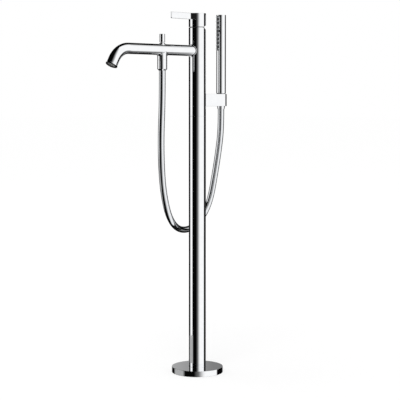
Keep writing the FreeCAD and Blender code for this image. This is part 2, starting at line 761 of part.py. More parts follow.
def make_cartridge():
    """Seals, base, discs, driver, turntable, housing, stem, pin and retaining nut."""
    piece("cartridge_base_seals", cut(rod("cartridge_radius - slip_clearance", "seal_thickness", z="seat_floor"),
                                      *port_drills("seat_floor", "seal_thickness")))
    piece("cartridge_base", cut(rod("cartridge_bore - slip_clearance", "base_height", z="base_bottom"),
                                *port_drills("base_bottom", "base_height")))
    piece("ceramic_disc_fixed", cut(rod("fixed_disc_diameter / 2", "disc_thickness", z="fixed_bottom"),
                                    *port_drills("fixed_bottom", "disc_thickness")))
    disc = rod("disc_diameter / 2", "disc_thickness", "0", "disc_travel / 2", "disc_bottom")
    piece("ceramic_disc_moving", cut(disc, rod("pocket_diameter / 2", "pocket_depth", z="disc_bottom")))
    driver = common(rod("disc_diameter / 2", "driver_height", "0", "disc_travel / 2", "driver_bottom"),
                    slab("driver_flat", "2 * disc_diameter", "driver_height",
                         "-driver_flat / 2", "-disc_diameter", "driver_bottom"))
    socket = "ball_radius + 2 * slip_clearance"
    piece("disc_driver", cut(
        driver,
        rod(socket, "driver_height", z="ball_height - ball_radius - 0.6"),
        rod("ball_radius + 1", "driver_height", z="ball_height + 0.6")))
    piece("cartridge_housing", turned([
        ("cartridge_bore", "base_bottom"),
        ("cartridge_radius", "base_bottom"),
        ("cartridge_radius", "lid_top"),
        ("neck_radius + running_clearance", "lid_top"),
        ("neck_radius + running_clearance", "lid_bottom"),
        ("cartridge_bore", "lid_bottom"),
    ]))
    rail_inner = "driver_flat / 2 + running_clearance"
    rails = [slab(f"rail_reach - ({rail_inner})", "rail_width", "flange_bottom - driver_bottom - 0.3",
                  rail_inner if side > 0 else "-rail_reach", "-rail_width / 2", "driver_bottom + 0.3")
             for side in (-1, 1)]
    blank = fuse(rod("flange_diameter / 2", "flange_thickness", z="flange_bottom"),
                 rod("neck_radius", "pivot_height + neck_rise - flange_top", z="flange_top"), *rails)
    slot_width = "(stem_width + 4 * running_clearance)"
    piece("cartridge_turntable", cut(
        blank,
        slab(slot_width, "2 * slot_half", "2 * neck_rise + 2 * flange_thickness + lid_thickness",
             f"-{slot_width} / 2", "-slot_half", "flange_bottom - 1"),
        rod("pin_diameter / 2", "2 * neck_radius", "-neck_radius", "0", "pivot_height", ACROSS)))
    piece("stem_pivot_pin", rod("pin_diameter / 2", "2 * (neck_radius - pin_inset)", "-neck_radius + pin_inset",
                                "0", "pivot_height", ACROSS))
    ball = doc.addObject("Part::Sphere", "StemBall")
    bind(ball, Radius="ball_radius")
    stem = fuse(put(ball, z="ball_height"),
                rod("stem_shank / 2", "stem_arm", z="ball_height"),
                slab("stem_width", "stem_width", "stem_rise + pin_diameter",
                     "-stem_width / 2", "-stem_width / 2", "pivot_height - pin_diameter"))
    piece("cartridge_stem", cut(stem, rod("pin_diameter / 2 + running_clearance", "2 * stem_width",
                                          "-stem_width", "0", "pivot_height", ACROSS)))
    piece("cartridge_retaining_nut", turned([
        ("cartridge_radius + slip_clearance", "nut_bottom"),
        ("nut_diameter / 2", "nut_bottom"),
        ("nut_diameter / 2", "lid_top + nut_lip"),
        ("nut_opening / 2", "lid_top + nut_lip"),
        ("nut_opening / 2", "lid_top"),
        ("cartridge_radius + slip_clearance", "lid_top"),
    ]))


# ---------------------------------------------------------------------------------------------
# Handle
# ---------------------------------------------------------------------------------------------

def lever_stock(allowance="0"):
    """The flat blade with its lower outer corner rounded off, or the slot that takes its root."""
    inner = "-(column_radius - lever_root)"
    outer = "-(column_radius + lever_length)"
    low = f"lever_bottom - {allowance}"
    thick = f"lever_thickness + 2 * {allowance}"
    if allowance != "0":
        return milled([(inner, low), (outer, low), (outer, "cap_top + 1"), (inner, "cap_top + 1")],
                      thick, "YZ_Plane", midplane=True)
    return milled([
        (inner, low),
        (f"{outer} + lever_rounding", low),
        (f"{outer} + 0.3 * lever_rounding", f"{low} + 0.3 * lever_rounding"),
        (outer, f"{low} + lever_rounding"),
        (outer, "cap_top - edge_break"),
        (f"{outer} + edge_break", "cap_top"),
        (inner, "cap_top")], thick, "YZ_Plane", midplane=True)


def make_handle():
    """Cap with the stem socket inside, blade let into its side, grub screw and plug at the back."""
    skirt_top = "cap_bottom + handle_skirt_height"
    shell = turned([
        ("column_radius - handle_skirt", "cap_bottom"),
        ("column_radius", "cap_bottom"),
        ("column_radius", "cap_top - edge_break"),
        ("column_radius - edge_break", "cap_top"),
        ("0", "cap_top"),
        ("0", "cap_ceiling"),
        ("cap_bore", "cap_ceiling"),
        ("cap_bore", f"{skirt_top} + handle_wall - handle_skirt"),
        ("column_radius - handle_skirt", skirt_top),
    ])
    socket_bottom = "cap_bottom + socket_clearance"
    stock = fuse(
        cut(shell, bevel_wedge("cap_bottom", "handle_bevel", down=False)),
        rod("socket_diameter / 2", f"cap_top - 1 - ({socket_bottom})", z=socket_bottom),
        rod("grub_boss / 2", "column_radius - 1", y="column_radius - 1", z="grub_axis", turn=FORWARD))
    stem_slot = "(stem_width + 2 * slip_clearance)"
    piece("handle_cap", cut(
        stock,
        slab(stem_slot, stem_slot, f"stem_top + slip_clearance - ({socket_bottom}) + 1",
             f"-{stem_slot} / 2", f"-{stem_slot} / 2", f"{socket_bottom} - 1"),
        rod("grub_diameter / 2 + slip_clearance", "column_radius + 1", y="column_radius + 1",
            z="grub_axis", turn=FORWARD),
        lever_stock("slip_clearance")))
    piece("lever_blade", lever_stock())
    piece("handle_grub_screw", rod("grub_diameter / 2", "grub_length", y="stem_width / 2 + grub_length",
                                   z="grub_axis", turn=FORWARD))
    piece("grub_screw_plug", common(
        rod("grub_diameter / 2", "plug_depth + 1", y="column_radius + 1", z="grub_axis", turn=FORWARD),
        rod("column_radius", "handle_height", z="cap_bottom")))


# ---------------------------------------------------------------------------------------------
# Spout
# ---------------------------------------------------------------------------------------------

def spout_run(radius):
    """Straight run, bend and tail of the spout at one radius."""
    bend = doc.addObject("Part::Torus", helper_name("bend"))
    bind(bend, Radius1="bend_radius", Radius2=radius, Angle3="bend_angle")
    turn = Rotation(Vector(0, 0, 1), Vector(0, -1, 0), Vector(1, 0, 0), "XYZ")
    put(bend, y="-spout_straight", z="spout_axis - bend_radius", turn=turn)
    tail = rod(radius, "spout_tail", y="spout_end_y + spout_tail * cos(bend_angle)",
               z="spout_end_z + spout_tail * sin(bend_angle)", turn=FORWARD)
    bind(tail, Placement__Rotation__Angle="90 + bend_angle")
    return [rod(radius, "spout_straight", z="spout_axis", turn=FORWARD), bend, tail]


def soften_crossings(shape, radius):
    """Fillet the free-form edges where round pieces run into each other."""
    crossings = [edge for edge in shape.Edges if "BSpline" in edge.Curve.TypeId]
    return shape.makeFillet(radius, crossings)


def make_spout():
    """Tube with a filleted saddle on the column and a filleted boss for the hose."""
    straight, bend, tail = spout_run("spout_radius")
    boss = rod("boss_radius", "spout_radius + boss_length", "0", "-diverter_reach", "boss_bottom")
    column = rod("column_radius", "6 * spout_radius", z="spout_axis - 3 * spout_radius")
    doc.recompute()
    root = column.Shape.fuse([straight.Shape, boss.Shape]).removeSplitter()
    root = soften_crossings(root, value("saddle_fillet")).cut(column.Shape)
    outside = root.fuse([bend.Shape, tail.Shape])
    hose_y = "-diverter_reach"
    bores = spout_run("spout_bore")
    aerator = rod("aerator_seat", "aerator_length", y="spout_end_y + aerator_length * cos(bend_angle)",
                  z="spout_end_z + aerator_length * sin(bend_angle)", turn=FORWARD)
    bind(aerator, Placement__Rotation__Angle="90 + bend_angle")
    piece("spout_tube", cut(
        as_feature(outside),
        *bores,
        aerator,
        rod("outlet_spigot_diameter / 2 + slip_clearance", "outlet_spigot_length + 0.5", "0", hose_y, "boss_bottom"),
        rod("diverter_port / 2", "boss_length + spout_radius", "0", hose_y, "boss_bottom"),
        rod("bonnet_diameter / 2 + slip_clearance", "2 * spout_radius", "0", hose_y, "spout_axis")))
    first = "spout_ring_inset"
    second = "spout_nipple_length - spout_ring_inset"
    half = "(spout_ring / 2 + slip_clearance)"
    outer = "spout_bore - slip_clearance"
    groove = "spout_bore - spout_ring"
    piece("spout_nipple", turned([
        ("spout_nipple_bore / 2", "0"),
        (outer, "0"),
        (outer, f"{first} - {half}"),
        (groove, f"{first} - {half}"),
        (groove, f"{first} + {half}"),
        (outer, f"{first} + {half}"),
        (outer, f"{second} - {half}"),
        (groove, f"{second} - {half}"),
        (groove, f"{second} + {half}"),
        (outer, f"{second} + {half}"),
        (outer, "spout_nipple_length"),
        ("spout_nipple_bore / 2", "spout_nipple_length"),
    ], y="-spout_nipple_start", z="spout_axis", turn=FORWARD))
    group("spout_o_rings", *[
        ring("spout_bore - spout_ring / 2", "spout_ring", y=f"-spout_nipple_start - ({inset})",
             z="spout_axis", turn=FORWARD)
        for inset in (first, second)])


def along_outlet(obj, inset):
    """Lay an upright piece on the outlet's axis, its lower end a given way in from the spout's end."""
    put(obj, y=f"spout_end_y + ({inset}) * cos(bend_angle)", z=f"spout_end_z + ({inset}) * sin(bend_angle)",
        turn=FORWARD)
    return bind(obj, Placement__Rotation__Angle="90 + bend_angle")


def make_aerator():
    """Threaded ring, perforated insert and washer in the spout's end."""
    insert_radius = "aerator_seat - aerator_wall - slip_clearance"
    housing_length = "(aerator_length - aerator_washer_thickness)"
    housing = turned([
        ("aerator_seat - aerator_wall", "0"),
        ("aerator_seat - slip_clearance", "0"),
        ("aerator_seat - slip_clearance", housing_length),
        ("aerator_seat - aerator_wall", housing_length),
    ])
    piece("aerator_housing", along_outlet(housing, housing_length))
    piece("aerator_washer", along_outlet(
        turned(sleeve("aerator_seat - slip_clearance", "aerator_seat - 2 * aerator_wall",
                      "0", "aerator_washer_thickness")), "aerator_length"))
    disc = rod(insert_radius, "aerator_insert_length")
    holes = []
    for count, share in ((1, 0), (6, 0.42), (12, 0.78)):
        for index in range(count):
            angle = 360 / count * index
            spot_x = f"({insert_radius}) * {share} * cos({angle})"
            spot_y = f"({insert_radius}) * {share} * sin({angle})"
            holes.append(rod("aerator_hole / 2", "aerator_insert_length", spot_x, spot_y))
    piece("aerator_insert", along_outlet(cut(disc, *holes), "aerator_recess + aerator_insert_length"))


# ---------------------------------------------------------------------------------------------
# Diverter
# ---------------------------------------------------------------------------------------------

def make_diverter():
    """Body across the bore, bonnet with cage, stem with seals, spring and knob."""
    y = "-diverter_reach"
    chamber = "diverter_chamber / 2"
    half_length = "diverter_body_length / 2"
    window_bottom = "upper_seat_top + 0.2"
    piece("diverter_body", cut(
        rod("diverter_fit", "diverter_body_length", y=f"{y} + {half_length}", z="spout_axis", turn=FORWARD),
        rod(chamber, "spout_diameter", "0", y, "lower_seat"),
        rod("diverter_port / 2", "spout_diameter", "0", y, "spout_axis - spout_diameter / 2"),
        rod("diverter_inlet / 2", half_length, y=f"{y} + {half_length}",
            z="(lower_seat + upper_seat_bottom) / 2", turn=FORWARD),
        slab("diverter_inlet", half_length, "cage_height - 0.4",
             "-diverter_inlet / 2", f"{y} - {half_length}", window_bottom)))
    bonnet_outer = "bonnet_diameter / 2"
    ring_seat = "bonnet_shoulder - 3"
    half = "(bonnet_ring / 2 + slip_clearance)"
    blank = turned([
        ("upper_seat_bore / 2", "upper_seat_bottom"),
        (bonnet_outer, "upper_seat_bottom"),
        (bonnet_outer, f"{ring_seat} - {half}"),
        (f"{bonnet_outer} + slip_clearance - bonnet_ring", f"{ring_seat} - {half}"),
        (f"{bonnet_outer} + slip_clearance - bonnet_ring", f"{ring_seat} + {half}"),
        (bonnet_outer, f"{ring_seat} + {half}"),
        (bonnet_outer, "bonnet_shoulder"),
        ("bonnet_neck / 2", "bonnet_shoulder + bonnet_flare"),
        ("bonnet_neck / 2", "bonnet_top"),
        ("diverter_stem_diameter / 2 + running_clearance", "bonnet_top"),
        ("diverter_stem_diameter / 2 + running_clearance", "spring_ceiling"),
        ("spring_chamber / 2", "spring_ceiling"),
        ("spring_chamber / 2", "upper_seat_top"),
        ("upper_seat_bore / 2", "upper_seat_top"),
    ], y=y)
    windows = [slab("bonnet_diameter + 2", "cage_window", "cage_height - 0.4",
                    "-bonnet_diameter / 2 - 1", f"{y} - cage_window / 2", window_bottom),
               slab("cage_window", "bonnet_diameter + 2", "cage_height - 0.4",
                    "-cage_window / 2", f"{y} - bonnet_diameter / 2 - 1", window_bottom)]
    piece("diverter_bonnet", cut(blank, *windows))
    piece("bonnet_o_ring", ring("bonnet_diameter / 2 + slip_clearance - bonnet_ring / 2", "bonnet_ring",
                                y=y, z=ring_seat))
    shaft = "diverter_stem_diameter / 2"
    collar_bottom = "spring_floor - spring_collar_thickness"
    piece("diverter_stem", turned([
        ("0", "valve_disc_bottom"),
        ("valve_disc_diameter / 2", "valve_disc_bottom"),
        ("valve_disc_diameter / 2", "valve_disc_top"),
        (shaft, "valve_disc_top"),
        (shaft, collar_bottom),
        ("spring_collar_diameter / 2", collar_bottom),
        ("spring_collar_diameter / 2", "spring_floor"),
        (shaft, "spring_floor"),
        (shaft, "knob_bottom + knob_socket"),
        ("0", "knob_bottom + knob_socket"),
    ], y=y))
    group("diverter_seals",
          turned([("0", "lower_seat"), ("valve_disc_diameter / 2", "lower_seat"),
                  ("valve_disc_diameter / 2", "valve_disc_bottom"), ("0", "valve_disc_bottom")], y=y),
          turned(sleeve("valve_disc_diameter / 2", shaft, "valve_disc_top", "upper_seal_top"), y=y))
    piece("diverter_knob", turned([
        (shaft, "knob_bottom"),
        ("knob_diameter / 2 - edge_break / 2", "knob_bottom"),
        ("knob_diameter / 2", "knob_bottom + edge_break / 2"),
        ("knob_diameter / 2", "knob_top - edge_break"),
        ("knob_diameter / 2 - edge_break", "knob_top"),
        ("0", "knob_top"),
        ("0", "knob_bottom + knob_socket"),
        (shaft, "knob_bottom + knob_socket"),
    ], y=y))
    piece("diverter_spring", as_feature(make_spring()))


def make_spring():
    """Closed coil between the stem's collar and the bonnet's roof."""
    wire = value("spring_wire")
    radius = value("spring_diameter") / 2
    bottom = value("spring_floor") + wire / 2 + value("face_gap")
    height = value("spring_ceiling") - value("spring_floor") - wire - 2 * value("face_gap")
    helix = Part.makeHelix(height / value("spring_turns"), height, radius)
    section = Part.Wire(Part.makeCircle(wire / 2, Vector(radius, 0, 0), Vector(0, 1, 0)))
    coil = Part.Wire(helix).makePipeShell([section], True, True)
    coil.translate(Vector(0, -value("diverter_reach"), bottom))
    return coil


# ---------------------------------------------------------------------------------------------
# Hose outlet, hose and its fittings
# ---------------------------------------------------------------------------------------------

# Corners of the hose's route, chosen by hand: x, y and height.
HOSE_ROUTE = [
    (0, -118, 741),
    (0, -118, 672),
    (-4, -119, 585),
    (-12, -110, 511),
    (-22, -94, 448),
    (-30, -69, 387),
    (-41, -29, 353),
    (-49, 21, 347),
    (-51, 67, 371),
    (-45, 92, 416),
    (-27, 91, 487),
    (-9, 85, 546),
    (0, 84, 599),
    (0, 84, 648),
]


def hose_corners():
    """The route, with its two ends on the fittings that they belong to."""
    corners = [Vector(*spot) for spot in HOSE_ROUTE]
    corners[0] = Vector(0, -value("diverter_reach"), value("hose_nut_bottom"))
    corners[-1] = Vector(0, value("handset_reach"), value("cone_end"))
    return corners


def hose_path():
    """Straight runs joined by tangent arcs, each as large as its two runs allow."""
    corners = hose_corners()
    edges = []
    start = corners[0]
    radii = []
    for before, corner, after in zip(corners, corners[1:], corners[2:]):
        back = (before - corner).normalize()
        ahead = (after - corner).normalize()
        turn = math.pi - back.getAngle(ahead)
        reach = 0.45 * min((before - corner).Length, (after - corner).Length)
        radius = reach / math.tan(turn / 2)
        radii.append((round(radius), round(math.degrees(turn))))
        entry = corner + back * reach
        leave = corner + ahead * reach
        middle = (back + ahead).normalize()
        apex = corner + middle * (radius / math.cos(turn / 2) - radius)
        edges.append(Part.LineSegment(start, entry).toShape())
        edges.append(Part.Arc(entry, apex, leave).toShape())
        start = leave
    edges.append(Part.LineSegment(start, corners[-1]).toShape())
    print("hose bends, radius and turn:", radii)
    return Part.Wire(edges)


def make_hose():
    """The shower hose: a smooth round tube along its hanging route."""
    path = hose_path()
    start = hose_corners()[0]
    heading = path.Edges[0].tangentAt(path.Edges[0].FirstParameter)
    section = Part.Wire(Part.makeCircle(value("hose_radius"), start, heading))
    hose = path.makePipeShell([section], True, False)
    expected = math.pi * value("hose_radius") ** 2 * path.Length
    print("hose length", round(path.Length, 1), "volume ratio", round(hose.Volume / expected, 4))
    piece("shower_hose", as_feature(hose))


def make_hose_fittings():
    """Nipple with non-return valve under the spout, nut, washer and ferrule."""
    y = "-diverter_reach"
    throat = "outlet_nipple_throat / 2"
    valve_top = "outlet_nipple_bottom + check_valve_length + 1"
    piece("hose_outlet_nipple", turned([
        ("outlet_nipple_bore / 2", "outlet_nipple_bottom"),
        ("thread_radius", "outlet_nipple_bottom"),
        ("thread_radius", "boss_bottom"),
        ("outlet_spigot_diameter / 2", "boss_bottom"),
        ("outlet_spigot_diameter / 2", "boss_bottom + outlet_spigot_length"),
        (throat, "boss_bottom + outlet_spigot_length"),
        (throat, valve_top),
        ("outlet_nipple_bore / 2", valve_top),
    ], y=y))
    piece("non_return_valve", turned(
        sleeve("outlet_nipple_bore / 2 - slip_clearance", "check_valve_bore / 2",
               "outlet_nipple_bottom + 1", valve_top), y=y))
    piece("hose_nut", turned([
        ("nut_hole", "hose_nut_bottom"),
        ("boss_radius - hose_nut_taper", "hose_nut_bottom"),
        ("boss_radius", "hose_nut_bottom + hose_nut_taper"),
        ("boss_radius", "hose_nut_top"),
        ("thread_radius + slip_clearance", "hose_nut_top"),
        ("thread_radius + slip_clearance", "nut_ledge"),
        ("nut_hole", "nut_ledge"),
    ], y=y))
    washer = sleeve("ferrule_flange_diameter / 2", "ferrule_bore / 2",
                    "nut_ledge + ferrule_flange", "nut_ledge + ferrule_flange + washer_thickness")
    piece("spout_hose_washer", turned(washer, y=y))
    piece("hose_ferrule_spout", turned([
        ("ferrule_bore / 2", "hose_nut_bottom"),
        ("hose_radius", "hose_nut_bottom"),
        ("hose_radius", "nut_ledge"),
        ("ferrule_flange_diameter / 2", "nut_ledge"),
        ("ferrule_flange_diameter / 2", "nut_ledge + ferrule_flange"),
        ("ferrule_bore / 2", "nut_ledge + ferrule_flange"),
    ], y=y))
    y = "handset_reach"
    piece("hose_ferrule_handset", turned([
        ("ferrule_bore / 2", "cone_end"),
        ("hose_radius", "cone_end"),
        ("hose_radius", "cone_ledge + face_gap"),
        ("ferrule_flange_diameter / 2", "cone_ledge + face_gap"),
        ("ferrule_flange_diameter / 2", "cone_ledge + ferrule_flange - face_gap"),
        ("ferrule_bore / 2", "cone_ledge + ferrule_flange - face_gap"),
    ], y=y))
    piece("handset_washer", turned(
        sleeve("ferrule_flange_diameter / 2", "ferrule_bore / 2",
               "cone_ledge + ferrule_flange", "handset_thread_end"), y=y))
    piece("handset_cone_nut", turned([
        ("hose_radius + running_clearance", "cone_end"),
        ("cone_end_diameter / 2", "cone_end"),
        ("cone_radius", "cone_start"),
        ("cone_radius", "handset_bottom"),
        ("thread_radius + slip_clearance", "handset_bottom"),
        ("thread_radius + slip_clearance", "cone_ledge"),
        ("hose_radius + running_clearance", "cone_ledge"),
    ], y=y))


# ---------------------------------------------------------------------------------------------
# Holder
# ---------------------------------------------------------------------------------------------

def make_holder():
    """Flat-sided bracket with a round end, screwed on from inside the column, and its bush."""
    blank = fuse(slab("holder_width", "handset_reach", "holder_height", "-holder_width / 2", "0", "holder_base"),
                 rod("holder_width / 2", "holder_height", "0", "handset_reach", "holder_base"))
    doc.recompute()
    rims = [edge for edge in blank.Shape.Edges
            if edge.BoundBox.ZLength < 0.001 and edge.BoundBox.YMax > value("handset_reach") / 2]
    softened = as_feature(blank.Shape.makeFillet(value("holder_edge"), rims))
    middle = "holder_base + holder_height / 2"
    piece("handset_holder", cut(
        softened,
        rod("column_radius", "2 * holder_height", z="holder_base - holder_height / 2"),
        rod("bush_diameter / 2", "holder_height", "0", "handset_reach", "holder_base"),
        rod("holder_screw_diameter / 2 + slip_clearance", "holder_screw_reach + 1",
            y="holder_screw_reach + 1", z=middle, turn=FORWARD)))
    seat = "(cone_end_diameter / 2 + cone_length_below * cone_slope + cone_nut_bush_gap)"
    piece("holder_bush", turned([
        (seat, "holder_base"),
        ("bush_diameter / 2", "holder_base"),
        ("bush_diameter / 2", "holder_top"),
        ("bush_bore", "holder_top"),
        ("bush_bore", "cone_start"),
    ], y="handset_reach"))
    piece("holder_screw", fuse(
        rod("holder_screw_head / 2", "holder_screw_head_height", y="screw_head_face", z=middle, turn=FORWARD),
        rod("holder_screw_diameter / 2", "holder_screw_reach - screw_head_face + 1",
            y="holder_screw_reach", z=middle, turn=FORWARD)))


# ---------------------------------------------------------------------------------------------
# Handset
# ---------------------------------------------------------------------------------------------

def strip_block(width, bottom, height):
    """A block in front of the handset's axis, used to cut the strip and its slot."""
    return slab(width, "handset_radius + 5", height,
                f"-({width}) / 2", "handset_reach - handset_radius - 5", bottom)


def make_handset():
    """Tube with a slot for the nozzle strip, waterway inside, threaded connector and end cap."""
    y = "handset_reach"
    low = "strip_bottom"
    high = "strip_top"
    length = "strip_length"
    shell = turned([
        ("handset_spigot_diameter / 2", "handset_bottom"),
        ("handset_radius - handset_rounding", "handset_bottom"),
        ("handset_radius - 0.3 * handset_rounding", "handset_bottom + 0.3 * handset_rounding"),
        ("handset_radius", "handset_bottom + handset_rounding"),
        ("handset_radius", "handset_top - edge_break"),
        ("handset_radius - edge_break", "handset_top"),
        ("handset_bore", "handset_top"),
        ("handset_bore", "handset_bottom + handset_floor"),
        ("handset_spigot_diameter / 2", "handset_bottom + handset_floor"),
    ], y=y)
    piece("handset_tube", cut(shell, strip_block("strip_width", low, length)))
    piece("handset_connector", turned([
        ("ferrule_bore / 2", "handset_thread_end"),
        ("thread_radius", "handset_thread_end"),
        ("thread_radius", "handset_bottom"),
        ("handset_spigot_diameter / 2 - slip_clearance", "handset_bottom"),
        ("handset_spigot_diameter / 2 - slip_clearance", "spigot_top"),
        ("ferrule_bore / 2", "spigot_top"),
    ], y=y))
    tube = turned(sleeve("waterway_radius", "waterway_radius - waterway_wall", "spigot_top", "end_cap_bottom"), y=y)
    window = slab("strip_width - 3", "handset_radius", f"{length} - 3",
                  "-(strip_width - 3) / 2", "handset_reach - handset_radius", f"{low} + 1.5")
    piece("handset_waterway", cut(tube, window))
    piece("handset_end_cap", turned([
        ("0", "end_cap_bottom"),
        ("handset_bore - slip_clearance", "end_cap_bottom"),
        ("handset_bore - slip_clearance", "handset_top"),
        ("0", "handset_top"),
    ], y=y))
    face = common(turned(sleeve("handset_radius", "handset_bore - slip_clearance", low, high), y=y),
                  strip_block("strip_width - 2 * slip_clearance", low, length))
    flange_width = "strip_width + 2 * strip_flange"
    flange = common(turned(sleeve("handset_bore - slip_clearance", "waterway_radius + slip_clearance", low, high), y=y),
                    strip_block(flange_width, low, length))
    nozzles = []
    bores = []
    for row in range(int(value("nozzle_rows"))):
        for side in (-1, 1):
            height = f"first_row + {row} * nozzle_pitch"
            nozzles.append(nozzle(side, height, "nozzle_diameter / 2", "nozzle_tip / 2", "nozzle_proud + 0.6"))
            bores.append(nozzle(side, height, "nozzle_bore / 2", "nozzle_bore / 2",
                                "nozzle_proud + 1", "strip_backing + handset_wall + 1"))
    piece("nozzle_strip", cut(fuse(face, flange, *nozzles), *bores))


def nozzle(side, height, base, tip, out, inward="0.6"):
    """A nozzle, or its bore, that starts inside the handset's surface and points out of it."""
    cone = doc.addObject("Part::Cone", helper_name("nozzle"))
    reach = f"({out}) + ({inward})"
    bind(cone, Radius1=base, Radius2=tip, Height=f"{reach} - 0.6")
    start = f"(handset_radius - ({inward}))"
    bearing = f"{side} * nozzle_angle"
    put(cone, f"{start} * sin({bearing})", f"handset_reach - {start} * cos({bearing})", height, FORWARD)
    tilt = Rotation(Vector(0, 0, 1), side * value("nozzle_angle")).multiply(FORWARD)
    cone.Placement = Placement(cone.Placement.Base, tilt)
    return cone


# ---------------------------------------------------------------------------------------------
# Build, check and write
# ---------------------------------------------------------------------------------------------

def build():
    """Make every sub-part."""
    make_foot_plate()
    make_foot_block()
    group("foot_block_screws", foot_screw(-1), foot_screw(1))
    make_rosette()
    make_column()
    make_mixer_body()
    make_valve_block()
    make_cartridge()
    make_handle()
    make_spout()
    make_aerator()
    make_diverter()
    make_hose_fittings()
    make_hose()
    make_holder()
    make_handset()
    doc.recompute()


def check():
    """Stop on any object that failed and any sub-part without a valid shape."""
    for obj in doc.Objects:
        if "Invalid" in obj.State or "Error" in obj.State:
            raise RuntimeError(f"{obj.Name} ({obj.Label}) failed: {obj.State}")
    for label, obj in pieces.items():
        if obj.Shape.isNull() or not obj.Shape.isValid() or obj.Shape.Volume <= 0:
            raise RuntimeError(f"{label} has no valid shape")


def write():
    """Export each sub-part to its own file."""
    os.makedirs("parts", exist_ok=True)
    for label, obj in pieces.items():
        obj.Shape.exportStep(f"parts/{label}.step")
    print(len(pieces), "sub-parts written")


build()
check()
write()
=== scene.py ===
import json
import logging
import math
from dataclasses import dataclass, field
from enum import Enum
from typing import Callable, Sequence

import bmesh
import bpy
from mathutils import Matrix, Vector


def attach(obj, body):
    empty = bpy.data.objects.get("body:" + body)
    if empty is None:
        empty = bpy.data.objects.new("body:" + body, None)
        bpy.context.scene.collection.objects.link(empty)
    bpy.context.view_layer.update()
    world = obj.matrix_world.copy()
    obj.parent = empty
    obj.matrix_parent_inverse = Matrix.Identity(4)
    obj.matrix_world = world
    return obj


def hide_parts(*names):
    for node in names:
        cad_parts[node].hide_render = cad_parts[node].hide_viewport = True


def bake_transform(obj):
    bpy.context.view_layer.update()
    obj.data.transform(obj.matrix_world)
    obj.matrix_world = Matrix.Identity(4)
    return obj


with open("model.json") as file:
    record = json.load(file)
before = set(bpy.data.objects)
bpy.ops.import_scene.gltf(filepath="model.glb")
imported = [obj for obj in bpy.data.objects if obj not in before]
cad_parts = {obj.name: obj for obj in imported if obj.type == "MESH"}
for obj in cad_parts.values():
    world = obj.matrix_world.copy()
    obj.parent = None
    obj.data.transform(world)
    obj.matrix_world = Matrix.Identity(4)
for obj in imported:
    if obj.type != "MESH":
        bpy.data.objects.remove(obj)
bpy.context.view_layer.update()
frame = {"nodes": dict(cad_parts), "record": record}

LOG = logging.getLogger("bath_filler")
MM = 0.001
FINE, COARSE = 128, 64          # sides of a large and of a small turned piece
TOUCH = 1e-6                    # metres within which two places are level
DOUBLE = 2e-6                   # metres within which two vertices are one
HARD_EDGE = math.radians(32)    # an edge sharper than this is rounded
SMOOTH = math.radians(38)       # an edge blunter than this is shaded smooth
SPOUT_AXIS = 790.5              # height of the spout's axis
OUTLET_Y = -118.0               # the diverter and the hose outlet stand here on the spout
HANDSET_Y = 84.0

Profile = Sequence[tuple[float, float]]
Point = tuple[float, float, float]


# ------------------------------------------------------------------------------------------
# Finishes
# ------------------------------------------------------------------------------------------

def linear(hex_colour: str) -> tuple[float, float, float, float]:
    """Turn an sRGB hex value into a linear colour.

    Args:
        hex_colour: the colour as "#rrggbb".

    Returns:
        Linear red, green, blue and alpha.
    """
    parts = [int(hex_colour[i:i + 2], 16) / 255 for i in (1, 3, 5)]
    r, g, b = (c / 12.92 if c <= 0.04045 else ((c + 0.055) / 1.055) ** 2.4 for c in parts)
    return r, g, b, 1.0


def add_node(tree: bpy.types.NodeTree, kind: str, settings: dict | None = None,
             inputs: dict | None = None) -> bpy.types.Node:
    """Add a node with its settings; an input that is given a socket is linked to it.

    Args:
        tree: the node tree.
        kind: the node's type name.
        settings: attributes to set.
        inputs: socket values or sockets, by socket name or index.

    Returns:
        The new node.
    """
    node = tree.nodes.new(kind)
    for key, setting in (settings or {}).items():
        setattr(node, key, setting)
    for key, given in (inputs or {}).items():
        if isinstance(given, bpy.types.NodeSocket):
            tree.links.new(given, node.inputs[key])
        else:
            node.inputs[key].default_value = given
    return node


class Grain(Enum):
    """How a surface was made, which gives its pattern its direction."""

    EVEN = (1.0, 1.0, 1.0)          # moulded, polished or plated: the same every way
    TURNED = (1.0, 1.0, 14.0)       # fine rings round an upright axis
    DRAWN = (14.0, 14.0, 0.4)       # streaks along an upright tube


